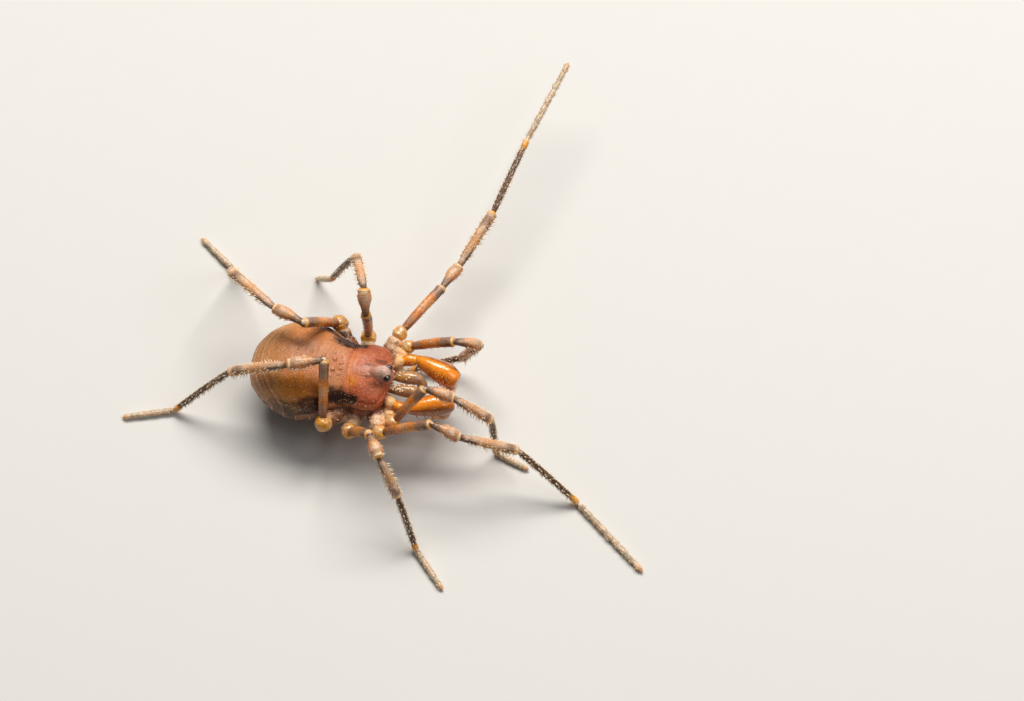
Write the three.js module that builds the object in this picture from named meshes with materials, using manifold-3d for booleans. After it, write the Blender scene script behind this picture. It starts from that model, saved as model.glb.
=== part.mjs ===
// Short-legged armoured harvestman, life size, standing as it walks over uneven ground
// Millimetres. +X is ahead, +Y is the animal's left, +Z is up, and its feet stand on z = 0

import * as THREE from 'three';
import { mergeVertices } from 'three/addons/utils/BufferGeometryUtils.js';
import Module from 'manifold-3d';

const wasm = await Module();
wasm.setup();

// Clearances and fineness
const GAP = 0.05;
const MERGE_DISTANCE = 1e-4;
const LEG_SIDES = 8;
const BALL_STEPS = 2;
const BEAD_SIDES = 10;
const ROWS_PER_SIDE = 0.6;
const PEG_SIDES = 8;
const FINE_SIDES = 6;
const SPINE_SIDES = 5;
const CLUB_SIDES = 12;
const TRUNK_SIDES = 32;
const TRUNK_RINGS = 24;
const SEARCH_STEPS = 40;
// Longer than the animal reaches in any direction
const FAR = 30;
const LEFT = 1;
const RIGHT = -1;
const SIDES = [[LEFT, 'left'], [RIGHT, 'right']];

// Stance: the trochanters are level, and the feet lie flat under them
const TROCHANTER_HEIGHT = 2.7;
const FOOT_AXIS_HEIGHT = 0.2;
const TOE_HEIGHT = 0.13;

// Trunk, from the front of the carapace to the last plate of the abdomen.
// Heights are counted from the level of the trochanters
const STATIONS = [
  // x, half width of the shield and of the flank under it, crown, edge of the shield, belly
  [-0.05, 0.0, 0.0, 0.32, 0.3, 0.24],
  [-0.1, 0.8, 0.84, 0.58, 0.26, -0.3],
  [-0.26, 1.24, 1.34, 0.76, 0.24, -0.7],
  [-0.6, 1.6, 1.78, 0.94, 0.22, -1.0],
  [-1.2, 1.67, 1.86, 1.06, 0.18, -1.25],
  [-1.92, 1.56, 1.74, 1.08, 0.14, -1.5],
  [-2.6, 1.8, 1.88, 1.14, 0.1, -1.75],
  [-3.35, 2.16, 2.22, 1.36, 0.06, -1.95],
  [-4.15, 2.36, 2.43, 1.52, 0.0, -2.12],
  [-4.8, 2.32, 2.39, 1.54, -0.06, -2.15],
  [-5.4, 2.12, 2.18, 1.4, -0.14, -2.05],
  [-6.0, 1.78, 1.83, 1.12, -0.26, -1.8],
  [-6.45, 1.4, 1.44, 0.76, -0.4, -1.5],
  [-6.8, 0.9, 0.93, 0.28, -0.56, -1.12],
  [-7.0, 0.0, 0.0, -0.66, -0.7, -0.74],
];
const SHIELD_THICKNESS = 0.07;
const SHIELD_LIP_ANGLE = 0.07;
// Cross-section: 2 is an ellipse, and more is squarer, with steeper flanks
const BACK_SQUARENESS = 2.25;
const FLANK_SQUARENESS = 2.8;
const WAIST_X = -2.15;
// Where each hind plate of the back overlaps the next, and how far it stands proud.
// Each edge is a step between two rings, given as shares of the trunk before and after it
const PLATE_EDGES = [-6.05, -6.33, -6.55, -6.73];
const PLATE_LIFT = 0.05;
const PLATE_RUN = 0.22;
const PLATE_STEP = [-0.002, 0.004];
const TUBERCLES = [
  // x, distance from the midline, radius
  [-2.44, 0.18, 0.13],
  [-2.44, 0.5, 0.13],
  [-2.74, 0.19, 0.13],
  [-2.74, 0.54, 0.13],
  [-3.3, 0.3, 0.11],
  [-3.95, 0.36, 0.11],
  [-4.6, 0.38, 0.1],
];
const TUBERCLE_SINK = 0.1;

// Eye mound and eyes
const MOUND = { x: -0.39, z: 0.8, length: 0.44, width: 0.41, height: 0.62, sides: 12, rows: 9 };
const EYE = { x: -0.16, y: 0.28, z: 1.1, radius: 0.17 };

// Chelicerae: a lying upper joint, a hanging hand and two fingers
const CHELICERA = {
  root: [-0.05, 0.34, 0.02], knee: [1.25, 0.36, 0.16], wrist: [1.38, 0.32, -0.85],
  tip: [1.22, 0.3, -1.42], rootRadius: 0.22, kneeRadius: 0.32, wristRadius: 0.25,
  fingerRadius: 0.125, tipRadius: 0.06, fingerSpread: [-0.16, 0, 0.02],
};

// Pedipalps: a bead at the root, a club-shaped femur, and the clasping end folded under it
const PALP = {
  coxa: [0.12, 1.08, 0.1], coxaRadius: 0.34,
  bead: [0.62, 1.27, 0.14], beadRadius: 0.32,
  root: [0.98, 1.26, 0.2], club: [2.6, 0.77, 0.2], rootRadius: 0.27, clubRadius: 0.63,
  elbow: [2.84, 0.66, -0.32], elbowRadius: 0.27, shin: [2.72, 0.64, -1.08], shinRadius: 0.32,
  wrist: [2.3, 0.6, -1.52], wristRadius: 0.25, claw: [1.72, 0.52, -1.42],
  footRadius: 0.2, clawRadius: 0.05,
  spines: 3, spineLength: 0.26, spineRadius: 0.06, spineShrink: 0.12, spineAim: [-0.75, 0.6, -0.1],
};

// Legs, numbered from the front: root bead, coxa under the shield, and joint lengths
const LEGS = {
  1: { bead: [0.45, 2.03, 0.0], beadRadius: 0.35, coxaRoot: [-0.45, 0.45, -0.72], coxaRadius: 0.42,
    lengths: { femur: 2.6, patella: 1.45, tibia: 2.35, metatarsus: 2.7, tarsus: 1.7 } },
  2: { bead: [-0.08, 2.67, 0.0], beadRadius: 0.4, coxaRoot: [-0.95, 0.45, -0.9], coxaRadius: 0.48,
    lengths: { femur: 3.2, patella: 1.5, tibia: 3.2, metatarsus: 4.15, tarsus: 4.6 } },
  3: { bead: [-1.65, 2.54, -0.74], beadRadius: 0.4, coxaRoot: [-1.4, 0.45, -1.1], coxaRadius: 0.5,
    lengths: { femur: 2.9, patella: 1.35, tibia: 2.35, metatarsus: 3.2, tarsus: 2.3 } },
  4: { bead: [-3.08, 2.67, 0.0], beadRadius: 0.42, coxaRoot: [-1.9, 0.65, -1.2], coxaRadius: 0.68,
    lengths: { femur: 3.35, patella: 1.75, tibia: 3.4, metatarsus: 4.25, tarsus: 2.45 } },
};
const JOINTS = ['femur', 'patella', 'tibia', 'metatarsus', 'tarsus'];
// How much narrower than its bead a coxa ends
const COXA_TAPER = 0.85;

// Outline of each leg joint: share of its length and radius. The last one is its far rim
const JOINT_OUTLINES = {
  femur: [[0, 0.25], [0.35, 0.25], [0.8, 0.27], [1, 0.27]],
  patella: [[0, 0.25], [0.2, 0.25], [0.45, 0.29], [0.72, 0.32], [0.9, 0.3], [1, 0.28]],
  tibia: [[0, 0.25], [0.3, 0.25], [0.8, 0.28], [1, 0.27]],
  metatarsus: [[0, 0.25], [0.5, 0.25], [0.92, 0.25], [1, 0.25]],
  tarsus: [[0, 0.25], [0.35, 0.25], [0.85, 0.21], [1, 0.12]],
};
const TOE_POINT = 0.02;
const ROOT_SINK = 0.12;

// Pose, in whole degrees: heading counted from ahead towards the left, and pitch upwards.
// A metatarsus with no pitch drops to the foot's height, and a tarsus with none lies flat
const POSE = {
  '1_left': [[2, 30], [15, -30], [170, -66], [196, null], [190, null]],
  '1_right': [[42, 46], [-2, -18], [-8, -34], [-60, null], [-19, null]],
  '2_left': [[61, -2], [67, -10], [68, 10], [76, 6], [74, 1]],
  '2_right': [[1, 38], [-8, -23], [9, -28], [-21, null], [-39, null]],
  '3_left': [[-108, 88], [105, 50], [111, -22], [-175, -66], [140, null]],
  '3_right': [[-38, 56], [-60, 7], [-45, -50], [-54, null], [-48, null]],
  '4_left': [[-134, 53], [156, -13], [143, -16], [100, null], [143, null]],
  '4_right': [[97, 48], [-165, -6], [-178, -31], [-156, null], [-162, null]],
};
// How far a bead has swung on its coxa, away from the mirror place of the other side's
const BEAD_SWING = { '4_right': [0.2, 0, 0] };

// Colours, from the photograph's side of the animal
const paint = (color, roughness) => new THREE.MeshStandardMaterial({ color, roughness, metalness: 0 });
const FINISH = {
  carapace: paint(0x8f3f2c, 0.55),
  abdomen: paint(0x7c3a24, 0.6),
  mound: paint(0x5a4440, 0.5),
  eye: paint(0x0b0a0a, 0.1),
  chelicera: paint(0x6d3f1c, 0.3),
  palp: paint(0xd2690f, 0.25),
  bead: paint(0xd07a1e, 0.3),
  femur: paint(0x8c4a1e, 0.45),
  patella: paint(0x9c5a3c, 0.5),
  tibia: paint(0x7a5a44, 0.5),
  metatarsus: paint(0x5c4c40, 0.55),
  tarsus: paint(0x9a9488, 0.6),
};

const mirrored = ([x, y, z], side) => new THREE.Vector3(x, side * y, z);

function aimed(headingDegrees, pitchDegrees) {
  const heading = THREE.MathUtils.degToRad(headingDegrees);
  const pitch = THREE.MathUtils.degToRad(pitchDegrees);
  return new THREE.Vector3(
    Math.cos(pitch) * Math.cos(heading), Math.cos(pitch) * Math.sin(heading), Math.sin(pitch));
}

// Geometry to solid and back. Shared corners are merged while a shape still stands at the origin
function closed(geometry) {
  geometry.deleteAttribute('normal');
  geometry.deleteAttribute('uv');
  return mergeVertices(geometry, MERGE_DISTANCE);
}

function solidOf(geometry) {
  const triangles = [];
  for (let i = 0; i < geometry.index.count; i += 3) {
    const [a, b, c] = [0, 1, 2].map((corner) => geometry.index.getX(i + corner));
    if (a !== b && b !== c && c !== a) triangles.push(a, b, c);
  }
  return new wasm.Manifold(new wasm.Mesh({
    numProp: 3,
    vertProperties: new Float32Array(geometry.attributes.position.array),
    triVerts: new Uint32Array(triangles),
  }));
}

function largestPiece(solid) {
  return solid.decompose().reduce((best, piece) => (piece.volume() > best.volume() ? piece : best));
}

function geometryOf(solid) {
  const mesh = largestPiece(solid).getMesh();
  const geometry = new THREE.BufferGeometry();
  geometry.setAttribute('position', new THREE.BufferAttribute(new Float32Array(mesh.vertProperties), 3));
  geometry.setIndex(new THREE.BufferAttribute(new Uint32Array(mesh.triVerts), 1));
  geometry.computeVertexNormals();
  return geometry;
}

const union = (solids) => solids.reduce((all, next) => all.add(next));
const cutBy = (solid, tools) => tools.reduce((left, tool) => left.subtract(tool), solid);

function ball(centre, radius, sides = BEAD_SIDES) {
  const rows = Math.round(sides * ROWS_PER_SIDE);
  const geometry = closed(new THREE.SphereGeometry(radius, sides, rows));
  return solidOf(geometry.translate(centre.x, centre.y, centre.z));
}

// A turned shape along a line: profile points are [distance along, radius]
function turned(start, direction, profile, sides) {
  const points = profile.map(([along, radius]) => new THREE.Vector2(Math.max(radius, 0), along));
  const geometry = closed(new THREE.LatheGeometry(points, sides));
  geometry.applyQuaternion(new THREE.Quaternion().setFromUnitVectors(
    new THREE.Vector3(0, 1, 0), direction));
  return solidOf(geometry.translate(start.x, start.y, start.z));
}

// A tapered peg with round ends, from one ball to another
function peg(from, to, radiusFrom, radiusTo, grow = 0, sides = PEG_SIDES) {
  const line = to.clone().sub(from);
  const length = line.length();
  const [rootRadius, endRadius] = [radiusFrom + grow, radiusTo + grow];
  const profile = [];
  for (let i = 0; i <= BALL_STEPS; i += 1) {
    const angle = (i / BALL_STEPS) * Math.PI / 2;
    profile.push([-rootRadius * Math.cos(angle), rootRadius * Math.sin(angle)]);
  }
  for (let i = BALL_STEPS; i >= 0; i -= 1) {
    const angle = (i / BALL_STEPS) * Math.PI / 2;
    profile.push([length + endRadius * Math.cos(angle), endRadius * Math.sin(angle)]);
  }
  return turned(from, line.normalize(), profile, sides);
}

// Trunk: a sphere whose rings are moved to the stations of the body
function trunkStation(share) {
  const at = (column) => new THREE.SplineCurve(
    STATIONS.map((station, i) => new THREE.Vector2(i, station[column]))).getPoint(share).y;
  const [x, halfWidth, flank, crown, edge, belly] = STATIONS[0].map((_, column) => at(column));
  return { x, halfWidth: Math.max(halfWidth, 0), flank, crown, edge, belly };
}

// The place along the trunk where it has reached back to x
function shareAt(x) {
  let [low, high] = [0, 1];
  for (let i = 0; i < SEARCH_STEPS; i += 1) {
    const middle = (low + high) / 2;
    if (trunkStation(middle).x > x) low = middle; else high = middle;
  }
  return low;
}

// How far a hind plate stands proud at a place along the back: most at its own hind edge
function plateLift(x) {
  const edge = PLATE_EDGES.find((at) => x >= at);
  if (edge === undefined) return 0;
  return PLATE_LIFT * Math.max(0, 1 - (x - edge) / PLATE_RUN);
}

const bowed = (value, power) => Math.sign(value) * Math.abs(value) ** power;

function trunk() {
  const shares = [];
  for (let i = 0; i <= TRUNK_RINGS; i += 1) shares.push(i / TRUNK_RINGS);
  // two rings close together at each plate's edge, so that it ends in a step
  for (const edge of PLATE_EDGES) {
    const step = shareAt(edge);
    const near = shares.reduce((a, b) => (Math.abs(a - step) < Math.abs(b - step) ? a : b));
    shares.splice(shares.indexOf(near), 1, ...PLATE_STEP.map((shift) => step + shift));
  }
  shares.sort((a, b) => a - b);
  const rings = shares.length - 1;
  const half = TRUNK_SIDES / 2;
  const geometry = new THREE.SphereGeometry(1, TRUNK_SIDES, rings);
  const position = geometry.attributes.position;
  const ringSize = TRUNK_SIDES + 1;
  for (let i = 0; i < position.count; i += 1) {
    const ring = Math.floor(i / ringSize);
    const column = (i % ringSize) % TRUNK_SIDES;
    const { x, halfWidth, flank, crown, edge, belly } = trunkStation(shares[ring]);
    const upper = column <= half;
    const angle = upper ? (column / half) * Math.PI : Math.PI + SHIELD_LIP_ANGLE
      + ((column - half - 1) / (half - 2)) * (Math.PI - 2 * SHIELD_LIP_ANGLE);
    const atPole = halfWidth < MERGE_DISTANCE;
    const proud = upper && !atPole ? SHIELD_THICKNESS + plateLift(x) : 0;
    const width = (upper ? halfWidth + proud : flank) - SHIELD_THICKNESS;
    const rise = upper ? crown - edge - SHIELD_THICKNESS + proud : edge - belly;
    const power = 2 / (upper ? BACK_SQUARENESS : FLANK_SQUARENESS);
    const across = atPole ? 0 : width * bowed(Math.cos(angle), power);
    position.setXYZ(i, x, across, atPole ? edge : edge + rise * bowed(Math.sin(angle), power));
  }
  return solidOf(closed(geometry));
}

// Height of the back at a place, for what grows on it
function backHeight(x, y) {
  const { halfWidth, crown, edge } = trunkStation(shareAt(x));
  const inward = 1 - Math.abs(y / halfWidth) ** BACK_SQUARENESS;
  return edge + (crown - edge) * Math.max(0, inward) ** (1 / BACK_SQUARENESS);
}

// Everything is built with the trochanters at height 0 and lifted onto the feet at the end
function slab(lowX, highX) {
  const geometry = closed(new THREE.BoxGeometry(highX - lowX, 2 * FAR, 2 * FAR));
  return solidOf(geometry.translate((lowX + highX) / 2, 0, 0));
}

function floorCutter() {
  const geometry = closed(new THREE.BoxGeometry(2 * FAR, 2 * FAR, 2 * FAR));
  return solidOf(geometry.translate(0, 0, -TROCHANTER_HEIGHT - FAR));
}

function beadCentre(leg, side, word) {
  const swing = BEAD_SWING[`${leg}_${word}`] ?? [0, 0, 0];
  return mirrored(LEGS[leg].bead, side).add(new THREE.Vector3(...swing));
}

// Leg joints as lines: each starts where the one before it ends
function legLines(leg, side, word) {
  const { beadRadius, lengths } = LEGS[leg];
  const pose = POSE[`${leg}_${word}`];
  const centre = beadCentre(leg, side, word);
  const lines = [];
  let start = centre.clone();
  JOINTS.forEach((joint, i) => {
    const [heading, pitch] = pose[i];
    let length = lengths[joint];
    let drop = pitch;
    if (pitch === null) {
      const restHeight = joint === 'tarsus' ? TOE_HEIGHT : FOOT_AXIS_HEIGHT;
      const fall = start.z + TROCHANTER_HEIGHT - restHeight;
      drop = -THREE.MathUtils.radToDeg(Math.asin(Math.min(1, fall / length)));
    }
    const direction = aimed(heading, drop);
    if (joint === 'femur') {
      const sink = beadRadius - ROOT_SINK;
      start.addScaledVector(direction, sink);
      length -= sink;
    }
    lines.push({ joint, start: start.clone(), direction, length });
    start.addScaledVector(direction, length);
  });
  return { centre, lines };
}

function legJoint({ joint, start, direction, length }, grow = 0) {
  const outline = JOINT_OUTLINES[joint];
  const rootRadius = outline[0][1] + grow;
  const profile = [];
  for (let i = 0; i < BALL_STEPS; i += 1) {
    const angle = (i / BALL_STEPS) * Math.PI / 2;
    profile.push([-rootRadius * Math.cos(angle), rootRadius * Math.sin(angle)]);
  }
  outline.forEach(([share, radius]) => profile.push([share * length, radius + grow]));
  profile.push([length + grow + (joint === 'tarsus' ? TOE_POINT : 0), 0]);
  return turned(start, direction, profile, LEG_SIDES);
}

// Spines on the clasping end of a pedipalp, each with its root sunk in
function palpSpines(from, to, radius) {
  const { spines, spineLength, spineRadius, spineShrink, spineAim } = PALP;
  const made = [];
  for (let i = 0; i < spines; i += 1) {
    const root = from.clone().lerp(to, (i + 0.5) / spines);
    const length = radius + spineLength * (1 - spineShrink * i);
    const profile = [[0, 0], [0, spineRadius], [length, 0]];
    for (const [side] of SIDES) {
      made.push(turned(root, mirrored(spineAim, side).normalize(), profile, SPINE_SIDES));
    }
  }
  return made;
}

function chelicera(side, grow = 0) {
  const { rootRadius, kneeRadius, wristRadius, fingerRadius, tipRadius, fingerSpread } = CHELICERA;
  const [root, knee, wrist, tip] = ['root', 'knee', 'wrist', 'tip'].map(
    (name) => mirrored(CHELICERA[name], side));
  const fixedTip = tip.clone().add(new THREE.Vector3(...fingerSpread));
  return union([
    peg(root, knee, rootRadius, kneeRadius, grow),
    peg(knee, wrist, kneeRadius, wristRadius, grow),
    peg(wrist, tip, fingerRadius, tipRadius, grow, FINE_SIDES),
    peg(wrist, fixedTip, fingerRadius, tipRadius, grow, FINE_SIDES),
  ]);
}

function palpFemur(side, grow = 0) {
  const [bead, root, club] = ['bead', 'root', 'club'].map((name) => mirrored(PALP[name], side));
  return union([
    ball(bead, PALP.beadRadius + grow),
    peg(root, club, PALP.rootRadius, PALP.clubRadius, grow, CLUB_SIDES),
  ]);
}

function palpEnd(side, grow = 0) {
  const [elbow, shin, wrist, claw] = ['elbow', 'shin', 'wrist', 'claw'].map(
    (name) => mirrored(PALP[name], side));
  const parts = [
    peg(elbow, shin, PALP.elbowRadius, PALP.shinRadius, grow),
    peg(shin, wrist, PALP.shinRadius, PALP.wristRadius, grow),
    peg(wrist, claw, PALP.footRadius, PALP.clawRadius, grow, FINE_SIDES),
  ];
  if (grow === 0) parts.push(...palpSpines(elbow, shin, PALP.shinRadius));
  return union(parts);
}

function coxa(leg, side, word, grow = 0) {
  const { coxaRoot, coxaRadius, beadRadius } = LEGS[leg];
  const endRadius = beadRadius * COXA_TAPER;
  return peg(mirrored(coxaRoot, side), beadCentre(leg, side, word), coxaRadius, endRadius, grow);
}

const harvestman = new THREE.Group();

function addNode(name, solid, material) {
  const mesh = new THREE.Mesh(geometryOf(solid), material);
  mesh.name = name;
  harvestman.add(mesh);
}

// Legs first, as the body is cut clear of them
const belowFloor = floorCutter();
const legBeads = [];
const grownBeads = [];
const grownFemora = [];
const coxae = [];
const grownCoxae = [];
for (const leg of Object.keys(LEGS)) {
  for (const [side, word] of SIDES) {
    const name = `leg_${leg}_${word}`;
    const { centre, lines } = legLines(leg, side, word);
    const { beadRadius } = LEGS[leg];
    coxae.push(coxa(leg, side, word));
    grownCoxae.push(coxa(leg, side, word, GAP));
    grownBeads.push(ball(centre, beadRadius + GAP));
    grownFemora.push(legJoint(lines[0], GAP));
    legBeads.push([`${name}_trochanter`, ball(centre, beadRadius).subtract(legJoint(lines[0], GAP))]);
    lines.forEach((line, i) => {
      let solid = legJoint(line);
      if (i + 1 < lines.length) solid = solid.subtract(legJoint(lines[i + 1], GAP));
      solid = solid.subtract(belowFloor);
      addNode(`${name}_${line.joint}`, solid, FINISH[line.joint]);
    });
  }
}
for (const [name, solid] of legBeads) addNode(name, solid, FINISH.bead);

// Mouthparts
for (const [side, word] of SIDES) {
  addNode(`chelicera_${word}`, cutBy(chelicera(side), [palpFemur(side, GAP)]), FINISH.chelicera);
  addNode(`pedipalp_${word}_femur`, cutBy(palpFemur(side), [palpEnd(side, GAP)]), FINISH.palp);
  addNode(`pedipalp_${word}_claw`, palpEnd(side), FINISH.palp);
}

// Eye mound and eyes
function moundSolid(grow = 0) {
  const geometry = closed(new THREE.SphereGeometry(1, MOUND.sides, MOUND.rows));
  geometry.rotateX(Math.PI / 2);
  geometry.scale(MOUND.length + grow, MOUND.width + grow, MOUND.height + grow);
  return solidOf(geometry.translate(MOUND.x, 0, MOUND.z));
}
const eyeCentre = (side) => new THREE.Vector3(EYE.x, side * EYE.y, EYE.z);
for (const [side, word] of SIDES) {
  addNode(`eye_${word}`, ball(eyeCentre(side), EYE.radius), FINISH.eye);
}
const grownEyes = SIDES.map(([side]) => ball(eyeCentre(side), EYE.radius + GAP));
addNode('eye_mound', cutBy(moundSolid(), grownEyes), FINISH.mound);

// Body in two: the carapace with the coxae under it, and the abdomen behind the waist
const grownMouth = SIDES.flatMap(([side]) => [chelicera(side, GAP), palpFemur(side, GAP)]);
const wholeTrunk = trunk();
const palpCoxae = SIDES.map(([side]) => ball(mirrored(PALP.coxa, side), PALP.coxaRadius));
const front = wholeTrunk.subtract(slab(-FAR, WAIST_X));
const carapace = cutBy(
  union([front, ...coxae, ...palpCoxae]),
  [...grownBeads, ...grownFemora, ...grownMouth, ...grownEyes, moundSolid(GAP)]);
addNode('carapace', carapace, FINISH.carapace);

const tubercles = TUBERCLES.flatMap(([x, y, radius]) => SIDES.map(([side]) => {
  const height = backHeight(x, y) - radius * TUBERCLE_SINK;
  return ball(new THREE.Vector3(x, side * y, height), radius, FINE_SIDES);
}));
const rear = union([wholeTrunk.subtract(slab(WAIST_X - GAP, FAR)), ...tubercles]);
addNode('abdomen', cutBy(rear, [...grownCoxae, ...grownBeads, ...grownFemora]), FINISH.abdomen);

// Origin under the middle of the animal's spread, on the floor
harvestman.updateMatrixWorld(true);
const spread = new THREE.Box3().setFromObject(harvestman, true);
const middle = spread.getCenter(new THREE.Vector3());
harvestman.position.set(-middle.x, -middle.y, TROCHANTER_HEIGHT);
harvestman.updateMatrixWorld(true);

export default harvestman;
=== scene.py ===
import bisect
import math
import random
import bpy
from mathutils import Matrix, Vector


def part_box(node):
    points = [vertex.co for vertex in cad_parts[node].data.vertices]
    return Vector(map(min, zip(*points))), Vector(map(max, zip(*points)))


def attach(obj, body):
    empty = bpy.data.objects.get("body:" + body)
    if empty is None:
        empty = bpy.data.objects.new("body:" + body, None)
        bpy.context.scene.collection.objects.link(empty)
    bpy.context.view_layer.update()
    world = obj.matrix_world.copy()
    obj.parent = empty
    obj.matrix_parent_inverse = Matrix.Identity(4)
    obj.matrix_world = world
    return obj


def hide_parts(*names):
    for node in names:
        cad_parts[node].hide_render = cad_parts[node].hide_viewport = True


bl_info = {
    "name": "Armoured Harvestman",
    "version": (1, 0, 0),
    "blender": (4, 5, 0),
    "location": "View3D > Sidebar > Harvestman",
    "description": "Builds a life-size short-legged armoured harvestman around its fixed frame",
    "category": "Add Mesh",
}

from collections import namedtuple

import bmesh
import bpy
import numpy as np
from bpy.props import FloatProperty, FloatVectorProperty, PointerProperty
from mathutils import Matrix, Vector, noise
from mathutils.bvhtree import BVHTree

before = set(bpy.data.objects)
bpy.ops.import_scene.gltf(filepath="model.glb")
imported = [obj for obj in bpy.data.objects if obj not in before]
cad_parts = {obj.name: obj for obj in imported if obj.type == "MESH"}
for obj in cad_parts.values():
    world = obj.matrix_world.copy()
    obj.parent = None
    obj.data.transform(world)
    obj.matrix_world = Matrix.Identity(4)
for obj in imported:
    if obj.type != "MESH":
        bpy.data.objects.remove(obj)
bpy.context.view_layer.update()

# The animal's own frame is in millimetres: +X ahead, +Y its left, z = 0 at its trochanters
MM = 0.001
TROCHANTER_HEIGHT = 2.7
SEED = 11

# Trunk: x, half width of the shield and of the flank under it, crown, edge of the shield, belly
STATIONS = (
    (-0.05, 0.0, 0.0, 0.32, 0.3, 0.24),
    (-0.1, 0.8, 0.84, 0.58, 0.26, -0.3),
    (-0.26, 1.24, 1.34, 0.76, 0.24, -0.7),
    (-0.6, 1.6, 1.78, 0.94, 0.22, -1.0),
    (-1.2, 1.67, 1.86, 1.06, 0.18, -1.25),
    (-1.92, 1.56, 1.74, 1.08, 0.14, -1.5),
    (-2.6, 1.8, 1.88, 1.14, 0.1, -1.75),
    (-3.35, 2.16, 2.22, 1.36, 0.06, -1.95),
    (-4.15, 2.36, 2.43, 1.52, 0.0, -2.12),
    (-4.8, 2.32, 2.39, 1.54, -0.06, -2.15),
    (-5.4, 2.12, 2.18, 1.4, -0.14, -2.05),
    (-6.0, 1.78, 1.83, 1.12, -0.26, -1.8),
    (-6.45, 1.4, 1.44, 0.76, -0.4, -1.5),
    (-6.8, 0.9, 0.93, 0.28, -0.56, -1.12),
    (-7.0, 0.0, 0.0, -0.66, -0.7, -0.74),
)
# How square the trunk is across, above and below the shield's edge: 2 is an ellipse
BACK_SQUARENESS = 2.25
FLANK_SQUARENESS = 2.8
# Hind edges of the last plates on the midline, how plainly each is marked, how much they bend forward at
# the sides, how far they stand proud, and the length over which that runs out
PLATE_EDGES = (-6.05, -6.33, -6.55, -6.73)
PLATE_MARKS = (0.38, 0.65, 0.42, 0.58)
PLATE_BEND = 0.26
PLATE_LIFT = 0.04
PLATE_RUN = 0.22
# Groove behind the carapace and the shallow ones after it, on the midline. All bend forward at the sides
GROOVE_X = -2.04
GROOVE_BEND = 0.11
AREA_GROOVES = (-2.9, -3.62, -4.32)
# Warts in pairs on the back: x, distance from the midline, radius
WARTS = (
    (-2.46, 0.13, 0.1), (-2.5, 0.46, 0.06), (-2.82, 0.27, 0.11), (-2.86, 0.6, 0.06),
    (-3.36, 0.3, 0.1), (-3.95, 0.36, 0.07), (-4.6, 0.38, 0.06),
)
# Knobs along the front margin of the carapace: x, distance from the midline, height, radius
KNOBS = (
    (0.04, 0.14, 0.36, 0.1), (0.01, 0.42, 0.35, 0.1), (-0.06, 0.72, 0.32, 0.07), (-0.13, 0.98, 0.3, 0.06),
    (-0.29, 1.27, 0.26, 0.07),
)
# Hollows and raised corners of the carapace: x, distance from the midline, width and height
CARAPACE_RELIEF = ((-0.75, 0.95, 0.4, -0.05), (-1.4, 0.45, 0.3, -0.035), (-0.45, 1.3, 0.22, 0.04))
# Hind edges of the belly plates, how far they stand proud, and the length over which that runs out
STERNITE_EDGES = (-3.0, -3.7, -4.35, -5.0, -5.6, -6.15)
STERNITE_LIFT = 0.05
STERNITE_RUN = 0.55

# Head
MOUND = {"x": -0.39, "z": 0.8, "length": 0.44, "width": 0.41, "height": 0.62}
EYE = {"x": -0.16, "y": 0.28, "z": 1.1, "radius": 0.17}
CHELICERA = {
    "root": (-0.05, 0.34, 0.02), "knee": (1.25, 0.36, 0.16), "wrist": (1.38, 0.32, -0.85),
    "tip": (1.22, 0.3, -1.42),
}
PALP = {
    "trunk": (-0.35, 0.72, -0.15), "coxa": (0.12, 1.08, 0.1), "bead": (0.62, 1.27, 0.14),
    "root": (0.98, 1.26, 0.2), "club": (2.6, 0.77, 0.2), "elbow": (2.84, 0.66, -0.32),
    "shin": (2.72, 0.64, -1.08), "wrist": (2.3, 0.6, -1.52), "claw": (1.72, 0.52, -1.42),
}
PALP_COXA_RADIUS = 0.34
# Radius along the pieces of chelicera and pedipalp, as share of their length and millimetres
JAW_OUTLINE = ((0, 0.19), (0.12, 0.2), (0.3, 0.27), (0.6, 0.325), (0.9, 0.32), (1, 0.26))
HAND_OUTLINE = ((0, 0.17), (0.12, 0.2), (0.4, 0.27), (0.75, 0.25), (1, 0.16))
PALP_OUTLINES = {
    "bead": ((0, 0.2), (0.25, 0.25), (0.55, 0.33), (0.85, 0.26), (1, 0.2)),
    "club": ((0, 0.18), (0.08, 0.22), (0.22, 0.36), (0.5, 0.48), (0.8, 0.59), (1, 0.52)),
    "knee": ((0, 0.2), (0.35, 0.25), (0.75, 0.3), (1, 0.2)),
    "shin": ((0, 0.2), (0.35, 0.31), (0.75, 0.27), (1, 0.19)),
    "foot": ((0, 0.17), (0.3, 0.18), (0.7, 0.12), (1, 0.05)),
}
# Pairs of spines under each piece of the claw, and the length of the first pair
PALP_SPINES = {"knee": (2, 0.24), "shin": (4, 0.34), "foot": (3, 0.24)}
# Hairs on a millimetre of each piece of the pedipalp
PALP_HAIRS = {"bead": 30, "club": 60, "knee": 50, "shin": 60, "foot": 80}
# Granules on top of each chelicera
JAW_GRANULES = {"left": 5, "right": 26}

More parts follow.
